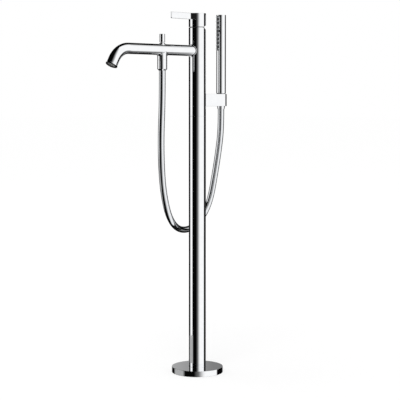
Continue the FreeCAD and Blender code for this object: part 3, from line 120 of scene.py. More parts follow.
@dataclass(frozen=True)
class Finish:
    """A procedural surface: colour and its variation, gloss and its variation, fine relief."""

    name: str
    colour: str
    darker: str
    roughness: tuple[float, float]
    metallic: float = 0.0
    grain: Grain = Grain.EVEN
    grain_mm: float = 2.0           # size of one patch of the pattern
    relief_mm: float = 0.002
    relief: float = 0.05
    ior: float = 1.5
    coat: float = 0.0

    def material(self) -> bpy.types.Material:
        """Build the material once, and return it from then on."""
        made = bpy.data.materials.get(self.name)
        if made is not None:
            return made
        made = bpy.data.materials.new(self.name)
        made.use_nodes = True
        tree = made.node_tree
        tree.nodes.clear()
        place = add_node(tree, "ShaderNodeTexCoord")
        laid = add_node(tree, "ShaderNodeMapping", inputs={
            "Vector": place.outputs["Object"], "Scale": self.grain.value})
        grit = add_node(tree, "ShaderNodeTexNoise", inputs={
            "Vector": laid.outputs["Vector"], "Scale": 1 / (self.grain_mm * MM), "Detail": 3.0})
        tint = add_node(tree, "ShaderNodeValToRGB", inputs={"Fac": grit.outputs["Fac"]})
        tint.color_ramp.elements[0].position, tint.color_ramp.elements[1].position = 0.3, 0.7
        tint.color_ramp.elements[0].color = linear(self.darker)
        tint.color_ramp.elements[1].color = linear(self.colour)
        gloss = add_node(tree, "ShaderNodeMapRange", inputs={
            "Value": grit.outputs["Fac"], "To Min": self.roughness[0], "To Max": self.roughness[1]})
        bump = add_node(tree, "ShaderNodeBump", inputs={
            "Height": grit.outputs["Fac"], "Strength": self.relief, "Distance": self.relief_mm * MM})
        constants = {"Metallic": self.metallic, "Coat Weight": self.coat}
        if self.metallic < 0.5:
            constants["IOR"] = self.ior
        shader = add_node(tree, "ShaderNodeBsdfPrincipled", inputs={
            "Base Color": tint.outputs["Color"], "Roughness": gloss.outputs["Result"],
            "Normal": bump.outputs["Normal"], **constants})
        add_node(tree, "ShaderNodeOutputMaterial", inputs={"Surface": shader.outputs["BSDF"]})
        return made


# Bright chromium plate on polished brass: near-neutral mirror, hardly any haze.
CHROME = Finish("chrome_plate_polished", "#fbfcfd", "#f6f7f9", (0.015, 0.035), 1.0,
                grain_mm=9.0, relief=0.006)
# Free-cutting brass as turned: warm, with fine rings from the tool.
BRASS = Finish("brass_turned", "#c9a35c", "#b48d48", (0.22, 0.36), 1.0, Grain.TURNED,
               grain_mm=4.0, relief=0.15)
# Stainless steel, milled and tumbled: grey with a soft sheen.
STEEL = Finish("stainless_steel_milled", "#b4b5b3", "#9fa19f", (0.28, 0.42), 1.0,
               grain_mm=1.5, relief=0.12)
# Stainless tube drawn through a die: streaks along its length.
SUPPLY = Finish("stainless_tube_drawn", "#bfc0bf", "#a9abaa", (0.2, 0.34), 1.0, Grain.DRAWN,
                grain_mm=6.0, relief=0.1)
# EPDM rubber, moulded: near-black and dull.
RUBBER = Finish("epdm_rubber_moulded", "#1b1b1c", "#121213", (0.62, 0.78), grain_mm=0.8, relief=0.2)
# Natural acetal, machined: milky white, slightly waxy.
ACETAL = Finish("acetal_natural_machined", "#e6e4db", "#d9d7cd", (0.34, 0.46), grain_mm=1.5,
                relief=0.08, ior=1.48)
# Black acetal, moulded: satin, faint tool texture.
BLACK_ACETAL = Finish("acetal_black_moulded", "#151516", "#0f0f10", (0.34, 0.46), grain_mm=0.6,
                      relief=0.12, ior=1.48)
# Alumina, lapped flat: cream, hard and glossy.
CERAMIC = Finish("alumina_lapped", "#efe9da", "#e5decd", (0.1, 0.18), grain_mm=0.9,
                 relief=0.03, ior=1.76)
# Silicone rubber, moulded: dull and dark grey in the strip. The nozzles get a pale copy of the same
# silicone, a painted highlight that gives the row its light and dark.
SILICONE = Finish("silicone_moulded", "#4c4e50", "#434547", (0.42, 0.54), grain_mm=0.9,
                  relief=0.1, ior=1.41)
SILICONE_PAINTED_HIGHLIGHT = Finish("silicone_painted_highlight", "#c4c6c8", "#b6b8ba", (0.42, 0.54), grain_mm=0.9,
                       relief=0.1, ior=1.41)
# Extruded PVC sleeve over a foil: smooth, bright and metallic.
HOSE_SLEEVE = Finish("pvc_sleeve_metallic", "#eff1f3", "#e6e8eb", (0.05, 0.08), 1.0,
                     grain_mm=5.0, relief=0.01, coat=0.3)
# Grey acetal, moulded: the perforated insert of the outlet.
GREY_ACETAL = Finish("acetal_grey_moulded", "#8b8b89", "#7e7e7c", (0.36, 0.48), grain_mm=0.7,
                     relief=0.1, ior=1.48)

BY_SLOT = {
    "chrome": CHROME, "brass": BRASS, "steel": STEEL, "supply": SUPPLY, "seal": RUBBER,
    "acetal": ACETAL, "black_plastic": BLACK_ACETAL, "ceramic": CERAMIC, "nozzle": SILICONE,
    "hose": HOSE_SLEEVE, "aerator": GREY_ACETAL,
}


# ------------------------------------------------------------------------------------------
# Bench: the operators that shape every piece. Sizes are in millimetres, points in metres.
# ------------------------------------------------------------------------------------------

def only(obj: bpy.types.Object) -> None:
    """Select this object alone and make it active.

    Args:
        obj: the object.
    """
    bpy.ops.object.select_all(action="DESELECT")
    obj.select_set(True)
    bpy.context.view_layer.objects.active = obj


def pick(obj: bpy.types.Object, wanted: Callable[[Vector], bool]) -> None:
    """Select, in edit mode, the vertices at the places that are wanted.

    Args:
        obj: the piece, in edit mode.
        wanted: whether a place, in metres, is wanted.
    """
    bpy.ops.mesh.select_all(action="DESELECT")
    mesh = bmesh.from_edit_mesh(obj.data)
    for vertex in mesh.verts:
        vertex.select = wanted(vertex.co)
    mesh.select_flush(True)
    bmesh.update_edit_mesh(obj.data)


def settle(obj: bpy.types.Object) -> bpy.types.Object:
    """Put a piece's place into its mesh, so that its object sits at the origin.

    Args:
        obj: the piece.

    Returns:
        The same piece.
    """
    only(obj)
    bpy.ops.object.transform_apply(location=True, rotation=True, scale=True)
    return obj


def outward() -> None:
    """Merge doubled vertices and point every face outwards, on the piece in edit mode."""
    bpy.ops.mesh.select_all(action="SELECT")
    bpy.ops.mesh.remove_doubles(threshold=DOUBLE)
    bpy.ops.mesh.normals_make_consistent(inside=False)


def extrude(move: Point = (0.0, 0.0, 0.0)) -> None:
    """Extrude what is selected and move it, in metres."""
    bpy.ops.mesh.extrude_region_move(TRANSFORM_OT_translate={"value": move})


def turn(name: str, profile: Profile, foot: tuple[float, float] = (0.0, 0.0),
         sides: int = FINE) -> bpy.types.Object:
    """Shape a turned piece ring by ring from a circle.

    Args:
        name: the piece's name.
        profile: radius and height of each corner; it closes on itself, or starts and ends on the axis.
        foot: x and y of the upright axis.
        sides: how many sides stand for the circle.

    Returns:
        The closed piece.
    """
    solid = profile[0][0] == 0
    corners = list(profile[1:]) if solid else list(profile) + [profile[0]]
    x, y = foot[0] * MM, foot[1] * MM
    radius, height = corners[0]
    bpy.ops.object.select_all(action="DESELECT")
    bpy.ops.mesh.primitive_circle_add(vertices=sides, radius=radius * MM, location=(x, y, height * MM),
                                      fill_type="TRIFAN" if solid else "NOTHING")
    obj = bpy.context.active_object
    obj.name = obj.data.name = name
    bpy.ops.object.mode_set(mode="EDIT")
    rim = radius * MM / 2
    pick(obj, lambda co: co.to_2d().length > rim)
    for next_radius, next_height in corners[1:]:
        extrude((0.0, 0.0, (next_height - height) * MM))
        if next_radius == 0:
            bpy.ops.mesh.merge(type="CENTER")
            break
        ratio = next_radius / radius
        bpy.ops.transform.resize(value=(ratio, ratio, 1.0), center_override=(x, y, next_height * MM))
        radius, height = next_radius, next_height
    outward()
    bpy.ops.object.mode_set(mode="OBJECT")
    return settle(obj)


def slope_rim(obj: bpy.types.Object, rim: float, span: tuple[float, float], slope: float) -> None:
    """Tilt the back half of a rim about the line through its middle, as a bevelled cut leaves it.

    Args:
        obj: the piece.
        rim: height of the rim.
        span: lowest and highest height of the corners that tilt.
        slope: degrees, positive where the back goes up.
    """
    only(obj)
    bpy.ops.object.mode_set(mode="EDIT")
    low, high = span[0] * MM - TOUCH, span[1] * MM + TOUCH
    pick(obj, lambda co: low <= co.z <= high and co.y > TOUCH)
    centre = (0.0, 0.0, rim * MM)
    # With no window the operator turns the other way, so the angle is given with its sign changed.
    bpy.ops.transform.rotate(value=-math.radians(slope), orient_axis="X", orient_type="GLOBAL",
                             center_override=centre)
    stretch = 1 / math.cos(math.radians(slope))
    bpy.ops.transform.resize(value=(1.0, stretch, 1.0), center_override=centre)
    bpy.ops.object.mode_set(mode="OBJECT")


def apply_modifier(obj: bpy.types.Object, kind: str, **settings: object) -> None:
    """Add a modifier and apply it.

    Args:
        obj: the piece.
        kind: the modifier's type name.
        settings: attributes to set.
    """
    only(obj)
    modifier = obj.modifiers.new(kind.title(), kind)
    for key, setting in settings.items():
        setattr(modifier, key, setting)
    bpy.ops.object.modifier_apply(modifier=modifier.name)


def soften(obj: bpy.types.Object, edge: float, segments: int = 3) -> bpy.types.Object:
    """Round the hard edges and shade the rest smooth.

    Args:
        obj: the piece.
        edge: width of the rounding, in millimetres.
        segments: how many facets stand for it.

    Returns:
        The same piece.
    """
    apply_modifier(obj, "BEVEL", width=edge * MM, segments=segments, limit_method="ANGLE",
                   angle_limit=HARD_EDGE)
    only(obj)
    bpy.ops.object.shade_smooth_by_angle(angle=SMOOTH)
    apply_modifier(obj, "WEIGHTED_NORMAL", keep_sharp=True)
    return obj


def block(name: str, low: Point, high: Point) -> bpy.types.Object:
    """A block between two corners, for cutting with or shaping further.

    Args:
        name: the block's name.
        low: its lowest corner, in millimetres.
        high: its highest corner, in millimetres.

    Returns:
        The block.
    """
    bpy.ops.object.select_all(action="DESELECT")
    middle = [(a + b) / 2 * MM for a, b in zip(low, high)]
    bpy.ops.mesh.primitive_cube_add(size=1.0, location=middle)
    obj = bpy.context.active_object
    obj.name = name
    obj.scale = [(b - a) * MM for a, b in zip(low, high)]
    return settle(obj)


def combine(obj: bpy.types.Object, tool: bpy.types.Object, how: str) -> None:
    """Cut or trim a piece with another one, which is used up."""
    apply_modifier(obj, "BOOLEAN", operation=how, object=tool, solver="EXACT")
    bpy.data.objects.remove(tool, do_unlink=True)


def join(first: bpy.types.Object, *others: bpy.types.Object) -> bpy.types.Object:
    """Make one object of several.

    Args:
        first: the piece that keeps its name.
        others: the pieces that go into it.

    Returns:
        The first piece, with the others in it.
    """
    bpy.ops.object.select_all(action="DESELECT")
    for obj in (first, *others):
        obj.select_set(True)
    bpy.context.view_layer.objects.active = first
    bpy.ops.object.join()
    return first


def skin(name: str, loops: Sequence[Sequence[Vector]]) -> bpy.types.Object:
    """Skin loops that lie in no plane, such as a rolling-ball fillet's, and close both ends.

    Args:
        name: the piece's name.
        loops: rings of points in metres, with the same count in each.

    Returns:
        The closed piece.
    """
    count = len(loops[0])
    points = [tuple(point) for loop in loops for point in loop]
    faces = [(row * count + i, row * count + (i + 1) % count,
              (row + 1) * count + (i + 1) % count, (row + 1) * count + i)
             for row in range(len(loops) - 1) for i in range(count)]
    ends = [tuple(range(count)), tuple(range(len(points) - count, len(points)))]
    mesh = bpy.data.meshes.new(name)
    mesh.from_pydata(points, [], faces + ends)
    obj = bpy.data.objects.new(name, mesh)
    bpy.context.collection.objects.link(obj)
    only(obj)
    bpy.ops.object.mode_set(mode="EDIT")
    outward()
    bpy.ops.object.mode_set(mode="OBJECT")
    bpy.ops.object.shade_smooth_by_angle(angle=SMOOTH)
    return obj


def arc_between(centre: Vector, start: Vector, end: Vector, steps: int) -> list[Vector]:
    """Points on the arc about a centre from one contact to the other, both included."""
    a, b = start - centre, end - centre
    return [centre + a.slerp(b, step / steps) for step in range(steps + 1)]


def dress(obj: bpy.types.Object, finish: Finish, slot: str, body: str, *nodes: str) -> None:
    """Give a piece its finish and body.

    Args:
        obj: the piece.
        finish: its surface.
        slot: the record's material slot; not used.
        body: the CAD body that it moves with.
        nodes: the CAD nodes that it stands for.
    """
    obj.data.materials.clear()
    obj.data.materials.append(finish.material())
    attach(obj, body)
    if nodes:
        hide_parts(*nodes)
    LOG.info("%s rides on %s", obj.name, body)


# ------------------------------------------------------------------------------------------
# Studio
# ------------------------------------------------------------------------------------------

@dataclass
class Studio:
    """Camera, pale floor, soft lamps and the dark and light flags that polished metal mirrors."""

    camera_place: Point = (2.0887, -2.1143, 0.680)
    camera_turn: tuple[float, float] = (86.065, 44.655)
    lens: float = 109.35
    shift: tuple[float, float] = (0.0069, -0.05)
    flag_radius: float = 8.0
    flag_centre: float = 0.5
    dark: float = 0.002
    camera_bearing: float = -45.0
    floor_greys: tuple[float, float] = (0.3, 0.8)       # to the camera, and as a source of light
    glow_reach: tuple[float, float] = (0.2, 2.2)        # metres from the foot
    glow: tuple[float, float] = (0.70, 0.81)            # of the floor there
    # Bearing from the camera's direction, positive to its right, and the brightness there.
    band: Sequence[tuple[float, float]] = field(default_factory=lambda: (
        (-180, 0.2), (-158, 0.14), (-152, 0.0), (-110, 0.0), (-105, 1.0), (-74, 1.0), (-69, 0.0),
        (-14, 0.0), (6, 0.16), (29, 0.9), (36, 1.0), (96, 1.0), (101, 0.0), (152, 0.0), (158, 0.14),
        (180, 0.2)))
    hood: Sequence[tuple[float, float]] = field(default_factory=lambda: (
        (-180, 0.0), (-12, 0.0), (8, 0.16), (28, 0.55), (44, 1.0), (98, 1.0), (112, 0.75),
        (124, 0.35), (133, 0.06), (138, 0.0), (180, 0.0)))
    apron: Sequence[tuple[float, float]] = field(default_factory=lambda: (
        (-180, 0.0), (-12, 0.0), (28, 0.6), (40, 1.0), (97, 1.0), (104, 0.3), (118, 0.12),
        (126, 0.0), (180, 0.0)))
    back: Sequence[tuple[float, float]] = field(default_factory=lambda: (
        (150, 0.19), (178.3, 0.2), (181.7, 0.42), (210, 0.43)))
    # Low on the left, for views from above and from behind.
    side: Sequence[tuple[float, float]] = field(default_factory=lambda: (
        (-130, 0.0), (-118, 0.42), (-70, 0.42), (-58, 0.0)))

    def build(self) -> None:
        """Set up camera, world, floor, flags and lamps."""
        bpy.context.scene.view_settings.view_transform = "Standard"
        self.add_camera()
        self.add_world()
        self.add_floor()
        self.add_flag("reflection_band", (-180.0, 180.0), (-17.0, 17.0), self.band)
        self.add_flag("reflection_hood", (-180.0, 180.0), (17.0, 60.0), self.hood, closed=True)
        self.add_flag("reflection_apron", (-180.0, 180.0), (-60.0, -17.0), self.apron, closed=True)
        self.add_flag("reflection_back", (150.0, 210.0), (7.5, 17.0), self.back, nearer=0.05)
        self.add_flag("reflection_side", (-130.0, -58.0), (-34.0, -14.0), self.side, nearer=0.05)
        self.add_lamps()

    def add_camera(self) -> None:
        """Camera at the photograph's angle."""
        data = bpy.data.cameras.new("camera")
        data.lens, data.sensor_width = self.lens, 36.0
        data.shift_x, data.shift_y = self.shift
        camera = bpy.data.objects.new("camera", data)
        camera.location = self.camera_place
        tilt, yaw = (math.radians(angle) for angle in self.camera_turn)
        camera.rotation_euler = (tilt, 0.0, yaw)
        bpy.context.collection.objects.link(camera)
        bpy.context.scene.camera = camera

    def add_world(self) -> None:
        """White to the camera and in mirrors, softer as light on the object."""
        world = bpy.data.worlds.new("studio")
        world.use_nodes = True
        bpy.context.scene.world = world
        tree = world.node_tree
        tree.nodes.clear()
        path = add_node(tree, "ShaderNodeLightPath")
        seen = add_node(tree, "ShaderNodeMath", {"operation": "MAXIMUM"}, {
            0: path.outputs["Is Camera Ray"], 1: path.outputs["Is Glossy Ray"]})
        seen = add_node(tree, "ShaderNodeMath", {"operation": "MAXIMUM"}, {
            0: seen.outputs[0], 1: path.outputs["Is Transmission Ray"]})
        strength = add_node(tree, "ShaderNodeMapRange", inputs={
            "Value": seen.outputs[0], "To Min": 0.62, "To Max": 1.0})
        sky = add_node(tree, "ShaderNodeBackground", inputs={
            "Color": (1.0, 1.0, 1.0, 1.0), "Strength": strength.outputs["Result"]})
        add_node(tree, "ShaderNodeOutputWorld", inputs={"Surface": sky.outputs["Background"]})

    def add_floor(self) -> None:
        """Pale floor that keeps a faint shadow and is left out of the mirrors, which see the flags."""
        bpy.ops.object.select_all(action="DESELECT")
        bpy.ops.mesh.primitive_plane_add(size=60.0, location=(0.0, 0.0, -0.0002))
        floor = bpy.context.active_object
        floor.name = "studio_floor"
        material = bpy.data.materials.new("studio_paper")
        material.use_nodes = True
        tree = material.node_tree
        tree.nodes.clear()
        path = add_node(tree, "ShaderNodeLightPath")
        seen_grey, lit_grey = ((grey, grey, grey, 1.0) for grey in self.floor_greys)
        paper = add_node(tree, "ShaderNodeBsdfDiffuse", inputs={"Color": seen_grey})
        # The far floor has to meet the white behind it; near the foot the shadow is kept.
        place = add_node(tree, "ShaderNodeTexCoord")
        away = add_node(tree, "ShaderNodeVectorMath", {"operation": "LENGTH"}, {
            0: place.outputs["Object"]})
        fade = add_node(tree, "ShaderNodeMapRange", inputs={
            "Value": away.outputs["Value"], "From Min": self.glow_reach[0],
            "From Max": self.glow_reach[1], "To Min": self.glow[0], "To Max": self.glow[1]})
        glow = add_node(tree, "ShaderNodeEmission", inputs={
            "Color": (1.0, 1.0, 1.0, 1.0), "Strength": fade.outputs["Result"]})
        seen = add_node(tree, "ShaderNodeAddShader", inputs={0: paper.outputs[0], 1: glow.outputs[0]})
        pale = add_node(tree, "ShaderNodeBsdfDiffuse", inputs={"Color": lit_grey})
        both = add_node(tree, "ShaderNodeMixShader", inputs={
            0: path.outputs["Is Camera Ray"], 1: pale.outputs[0], 2: seen.outputs[0]})
        add_node(tree, "ShaderNodeOutputMaterial", inputs={"Surface": both.outputs[0]})
        floor.data.materials.append(material)
        floor.visible_glossy = False

    def add_flag(self, name: str, bearings: tuple[float, float], elevations: tuple[float, float],
                 tones: Sequence[tuple[float, float]], closed: bool = False,
                 nearer: float = 0.0) -> None:
        """Curved card round the object that only mirrors see.

        Args:
            name: the card's name.
            bearings: where it starts and ends, from the camera's direction.
            elevations: its lower and upper edge, in degrees above the horizon.
            tones: bearing and brightness of each stop.
            closed: whether it is closed at the end that is farther from the horizon.
            nearer: how much nearer than the other cards it stands, in metres.
        """
        radius = self.flag_radius - nearer
        middle = (bearings[0] + bearings[1]) / 2
        low, high = (self.flag_centre + radius * math.tan(math.radians(e)) for e in elevations)
        bpy.ops.object.select_all(action="DESELECT")
        bpy.ops.mesh.primitive_cylinder_add(vertices=360, radius=radius, depth=high - low,
                                            end_fill_type="TRIFAN" if closed else "NOTHING",
                                            location=(0.0, 0.0, (low + high) / 2))
        card = bpy.context.active_object
        card.name = name
        settle(card)
        bpy.ops.object.mode_set(mode="EDIT")
        if closed:
            open_end = low if abs(low) < abs(high) else high
            pick(card, lambda co: co.to_2d().length < 0.001 and abs(co.z - open_end) < 0.001)
            bpy.ops.mesh.delete(type="VERT")
        if bearings[1] - bearings[0] < 360:
            toward = Vector((math.cos(math.radians(self.camera_bearing + middle)),
                             math.sin(math.radians(self.camera_bearing + middle))))
            half = math.radians((bearings[1] - bearings[0]) / 2)
            pick(card, lambda co: co.to_2d().normalized().dot(toward) < math.cos(half))
            bpy.ops.mesh.delete(type="VERT")
        bpy.ops.object.mode_set(mode="OBJECT")
        material = bpy.data.materials.new(name)
        material.use_nodes = True
        tree = material.node_tree
        tree.nodes.clear()
        place = add_node(tree, "ShaderNodeTexCoord")
        # The card's middle is turned to the pattern's middle, away from its seam.
        turned = add_node(tree, "ShaderNodeMapping", {"vector_type": "POINT"}, {
            "Vector": place.outputs["Object"],
            "Rotation": (0.0, 0.0, math.radians(-self.camera_bearing - middle))})
        round_it = add_node(tree, "ShaderNodeTexGradient", {"gradient_type": "RADIAL"},
                            {"Vector": turned.outputs["Vector"]})
        ramp = add_node(tree, "ShaderNodeValToRGB", inputs={"Fac": round_it.outputs["Fac"]})
        stops = ramp.color_ramp.elements
        while len(stops) < len(tones):
            stops.new(0.5)
        for stop, (bearing, _) in zip(stops, tones):
            stop.position = (bearing - middle) / 360 + 0.5
        # The tones come after all the places, because stops change order as they are moved.
        for stop, (_, tone) in zip(stops, tones):
            grey = self.dark + (1 - self.dark) * tone
            stop.color = (grey, grey, grey, 1.0)
        light = add_node(tree, "ShaderNodeEmission", inputs={
            "Color": ramp.outputs["Color"], "Strength": 1.0})
        add_node(tree, "ShaderNodeOutputMaterial", inputs={"Surface": light.outputs[0]})
        card.data.materials.append(material)
        card.visible_camera = card.visible_diffuse = card.visible_shadow = False

    def add_lamps(self) -> None:
        """Two large soft lamps, left out of the mirrors."""
        for name, place, energy, size in (("lamp_key", (1.6, -2.2, 3.2), 70.0, 2.4),
                                          ("lamp_fill", (-2.6, -1.0, 2.4), 30.0, 2.8)):
            data = bpy.data.lights.new(name, "AREA")
            data.energy, data.size = energy, size
            lamp = bpy.data.objects.new(name, data)
            lamp.location = place
            aim = Vector((0.0, 0.0, 0.4)) - Vector(place)
            lamp.rotation_euler = aim.to_track_quat("-Z", "Y").to_euler()
            lamp.visible_glossy = False
            bpy.context.collection.objects.link(lamp)


# ------------------------------------------------------------------------------------------
# Hose
# ------------------------------------------------------------------------------------------

@dataclass
class Hose:
    """Smooth hose from under the spout to the handset, hanging in one loop."""

    diameter: float = 15.8
    length: float = 803.0
    route: Sequence[Point] = (
        (0, -118, 741.05), (0, -118, 672), (-4, -119, 585), (-12, -110, 511), (-22, -94, 448),
        (-30, -69, 387), (-41, -29, 353), (-49, 21, 347), (-51, 67, 371), (-45, 92, 416),
        (-27, 91, 487), (-9, 85, 546), (0, 84, 599), (0, 84, 648))

    def line(self, thickness: float) -> bpy.types.Object:
        """A NURBS line through the air, with the route's points as its control points.

        Args:
            thickness: radius of the tube round it, in metres; 0 for the bare line.

        Returns:
            The curve object.
        """
        data = bpy.data.curves.new("hose_line", "CURVE")
        data.dimensions = "3D"
        data.bevel_depth = thickness
        data.bevel_resolution = 12
        data.use_fill_caps = thickness > 0
        spline = data.splines.new("NURBS")
        spline.points.add(len(self.route) - 1)
        for point, place in zip(spline.points, self.route):
            point.co = (place[0] * MM, place[1] * MM, place[2] * MM, 1.0)
        spline.order_u = 3
        spline.use_endpoint_u = True
        spline.resolution_u = 16
        obj = bpy.data.objects.new("hose_line", data)
        bpy.context.collection.objects.link(obj)
        return obj

    def build(self) -> None:
        """Make the tube, and a mesh of its bare path."""
        bare = self.line(0.0)
        bpy.context.view_layer.update()
        mesh = bpy.data.meshes.new_from_object(bare)
        bpy.data.objects.remove(bare, do_unlink=True)
        tube = self.line(self.diameter / 2 * MM)
        only(tube)
        bpy.ops.object.convert(target="MESH")
        tube = bpy.context.active_object
        tube.name = tube.data.name = "hanging_hose"
        bpy.ops.object.mode_set(mode="EDIT")
        outward()
        bpy.ops.object.mode_set(mode="OBJECT")
        bpy.ops.object.shade_smooth_by_angle(angle=SMOOTH)
        tube.data.materials.clear()
        tube.data.materials.append(HOSE_SLEEVE.material())
        # The photograph's column mirrors no hose: its dark band is clean from top to foot.
        tube.visible_glossy = False
        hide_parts("shower_hose")
        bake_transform(tube)
        LOG.info("hanging_hose joins root and hose_end")


# ------------------------------------------------------------------------------------------
# Column, foot and handle
# ------------------------------------------------------------------------------------------

@dataclass
class Column:
    """Rosette on the floor, lower tube, the upper body with its bevelled rim, and in it the black cowl
    that paints the shade in the gap under the cap.
    """

    radius: float = 21.0
    joint: float = 632.0
    top: float = 847.0
    rim_break: float = 0.8
    bevel: float = 22.7
    rosette_radius: float = 63.0
    rosette_height: float = 14.0
    rosette_bore: float = 21.3
    rosette_wall: float = 1.5
    rosette_sides: int = 192
    collar_width: float = 8.0       # of the ring round the rosette's bore
    collar_depth: float = 6.0
    tube_foot: float = 6.0
    tube_wall: float = 2.0
    body_wall: float = 3.0
    edge: float = 0.4               # rounding at the joint and at the rim
    pivot: float = 838.0
    cowl_radius: float = 17.2
    cowl_foot: float = 840.7
    cowl_dome: float = 19.9         # clear of the cap, which tilts about the pivot
    cowl_wall: float = 0.9
    cowl_angles: Sequence[float] = (59.8, 57.0, 54.0, 51.0, 48.0)   # along the dome, from its top

    def build(self) -> None:
        """Build and dress the four pieces."""
        r, bore, h = self.rosette_radius, self.rosette_bore, self.rosette_height
        wall, collar, under = self.rosette_wall, bore + self.collar_width, h - self.collar_depth
        rosette = turn("rosette_cover", [
            (r - wall, 0), (r, 0), (r, h), (bore, h), (bore, under), (collar, under),
            (collar, h - wall), (r - wall, h - wall)], sides=self.rosette_sides)
        soften(rosette, 0.6, 4)
        dress(rosette, CHROME, "chrome", "rosette", "floor_rosette")
        inner = self.radius - self.tube_wall
        tube = soften(turn("column_lower", [
            (inner, self.tube_foot), (self.radius, self.tube_foot), (self.radius, self.joint),
            (inner, self.joint)]), self.edge)
        dress(tube, CHROME, "chrome", "root", "column_tube")
        inner = self.radius - self.body_wall
        body = turn("column_upper", [
            (inner, self.joint), (self.radius, self.joint), (self.radius, self.top - self.rim_break),
            (self.radius - self.rim_break, self.top), (inner, self.top)])
        slope_rim(body, self.top, (self.top - 1, self.top), -self.bevel)
        soften(body, self.edge)
        dress(body, CHROME, "chrome", "root", "mixer_body")
        # The cowl is black so that the gap between the body's rim and the cap reads dark: painted shade
        # in the gap.
        cowl = soften(turn("gap_shade_cowl", self.cowl_profile()), 0.15, 2)
        dress(cowl, BLACK_ACETAL, "black_plastic", "root")

    def cowl_profile(self) -> Profile:
        """Skirt on the retaining nut and a domed collar over the stem's slot, seen in the gap, where
        its black stands for painted shade.
        """
        inner = self.cowl_dome - self.cowl_wall
        angles = [math.radians(a) for a in self.cowl_angles]
        outside = [(self.cowl_dome * math.sin(a), self.pivot + self.cowl_dome * math.cos(a))
                   for a in angles]
        inside = [(inner * math.sin(a), self.pivot + inner * math.cos(a)) for a in reversed(angles)]
        return [(self.cowl_radius, self.cowl_foot), *outside, *inside,
                (self.cowl_radius - self.cowl_wall, self.cowl_foot)]


@dataclass
class Handle:
    """Cap that turns and tilts on the body, and its flat lever."""

    radius: float = 21.0
    bottom: float = 848.2
    top: float = 881.0
    skirt: float = 1.0
    skirt_top: float = 853.2
    wall: float = 3.0
    bevel: float = 15.8
    lever_reach: float = 89.0
    lever_height: float = 15.0
    lever_thickness: float = 4.5
    lever_start: float = -15.0      # inside the cap
    lever_corner: float = 3.0
    roof: float = 4.0               # thickness of the cap's top
    socket_radii: tuple[float, float] = (4.4, 7.0)
    socket_ends: tuple[float, float] = (4.0, 3.0)       # above the cap's bottom, below its top
    root_reach: float = 25.3        # the lever widens from here towards the cap
    root_round: float = 0.5
    root_steps: int = 6
    root_inset: float = 0.02        # keeps the root's faces off the lever's
    root_overlap: float = 0.4       # with the lever
    root_depth: float = 3.0         # into the cap
    root_edge: float = 0.8

    def build(self) -> None:
        """Build and dress the cap and the lever."""
        inner, skirt = self.radius - self.wall, self.radius - self.skirt
        shoulder, ceiling = self.skirt_top + self.wall - self.skirt, self.top - self.roof
        cap = turn("handle_shell", [
            (0, self.top), (self.radius, self.top), (self.radius, self.bottom), (skirt, self.bottom),
            (skirt, self.skirt_top), (inner, shoulder), (inner, ceiling), (0, ceiling)])
        slope_rim(cap, self.bottom, (self.bottom, shoulder), self.bevel)
        soften(cap, 0.45, 4)
        hole, outside = self.socket_radii
        low, high = self.bottom + self.socket_ends[0], self.top - self.socket_ends[1]
        socket = soften(turn("socket", [
            (hole, low), (outside, low), (outside, high), (hole, high)], sides=COARSE), 0.3)
        dress(join(cap, socket, self.root()), CHROME, "chrome", "handle", "handle_cap")
        dress(self.lever(), CHROME, "chrome", "handle", "lever_blade")

    def root(self) -> bpy.types.Object:
        """Root of the lever: it widens until its sides run tangentially into the cap."""
        half, round_off = self.lever_thickness / 2 - self.root_inset, self.root_round
        start = Vector((half + round_off, -self.root_reach))
        # The angle of the straight side that touches the arc and the cap, both on the same side of it.
        turn_to = (math.asin((self.radius + round_off) / start.length)
                   - math.atan2(start.x, -start.y))
        side = [(half, -self.root_reach - self.root_overlap)]
        for step in range(self.root_steps + 1):
            angle = turn_to * step / self.root_steps
            side.append((start.x - round_off * math.cos(angle),
                         start.y + round_off * math.sin(angle)))
        for radius in (self.radius, self.radius - self.root_depth):
            side.append((radius * math.cos(turn_to), -radius * math.sin(turn_to)))
        plan = side + [(-x, y) for x, y in reversed(side)]
        low = self.top - self.lever_height
        loops = [[Vector((x, y, z)) * MM for x, y in plan] for z in (low, self.top - self.root_inset)]
        return soften(skin("lever_root", loops), self.root_edge, 4)

    def lever(self) -> bpy.types.Object:
        """The flat blade: a block let into the cap, its lower outer corner rounded."""
        half = self.lever_thickness / 2
        blade = block("lever_flat", (-half, -self.lever_reach, self.top - self.lever_height),
                      (half, self.lever_start, self.top))
        only(blade)
        bpy.ops.object.mode_set(mode="EDIT")
        outer, low = (-self.lever_reach + 0.1) * MM, (self.top - self.lever_height + 0.1) * MM
        pick(blade, lambda co: co.y < outer and co.z < low)
        bpy.ops.mesh.bevel(offset=self.lever_corner * MM, segments=6, affect="EDGES")
        outward()
        bpy.ops.object.mode_set(mode="OBJECT")
        return soften(blade, 0.9, 4)


# ------------------------------------------------------------------------------------------
# Spout and diverter
# ------------------------------------------------------------------------------------------

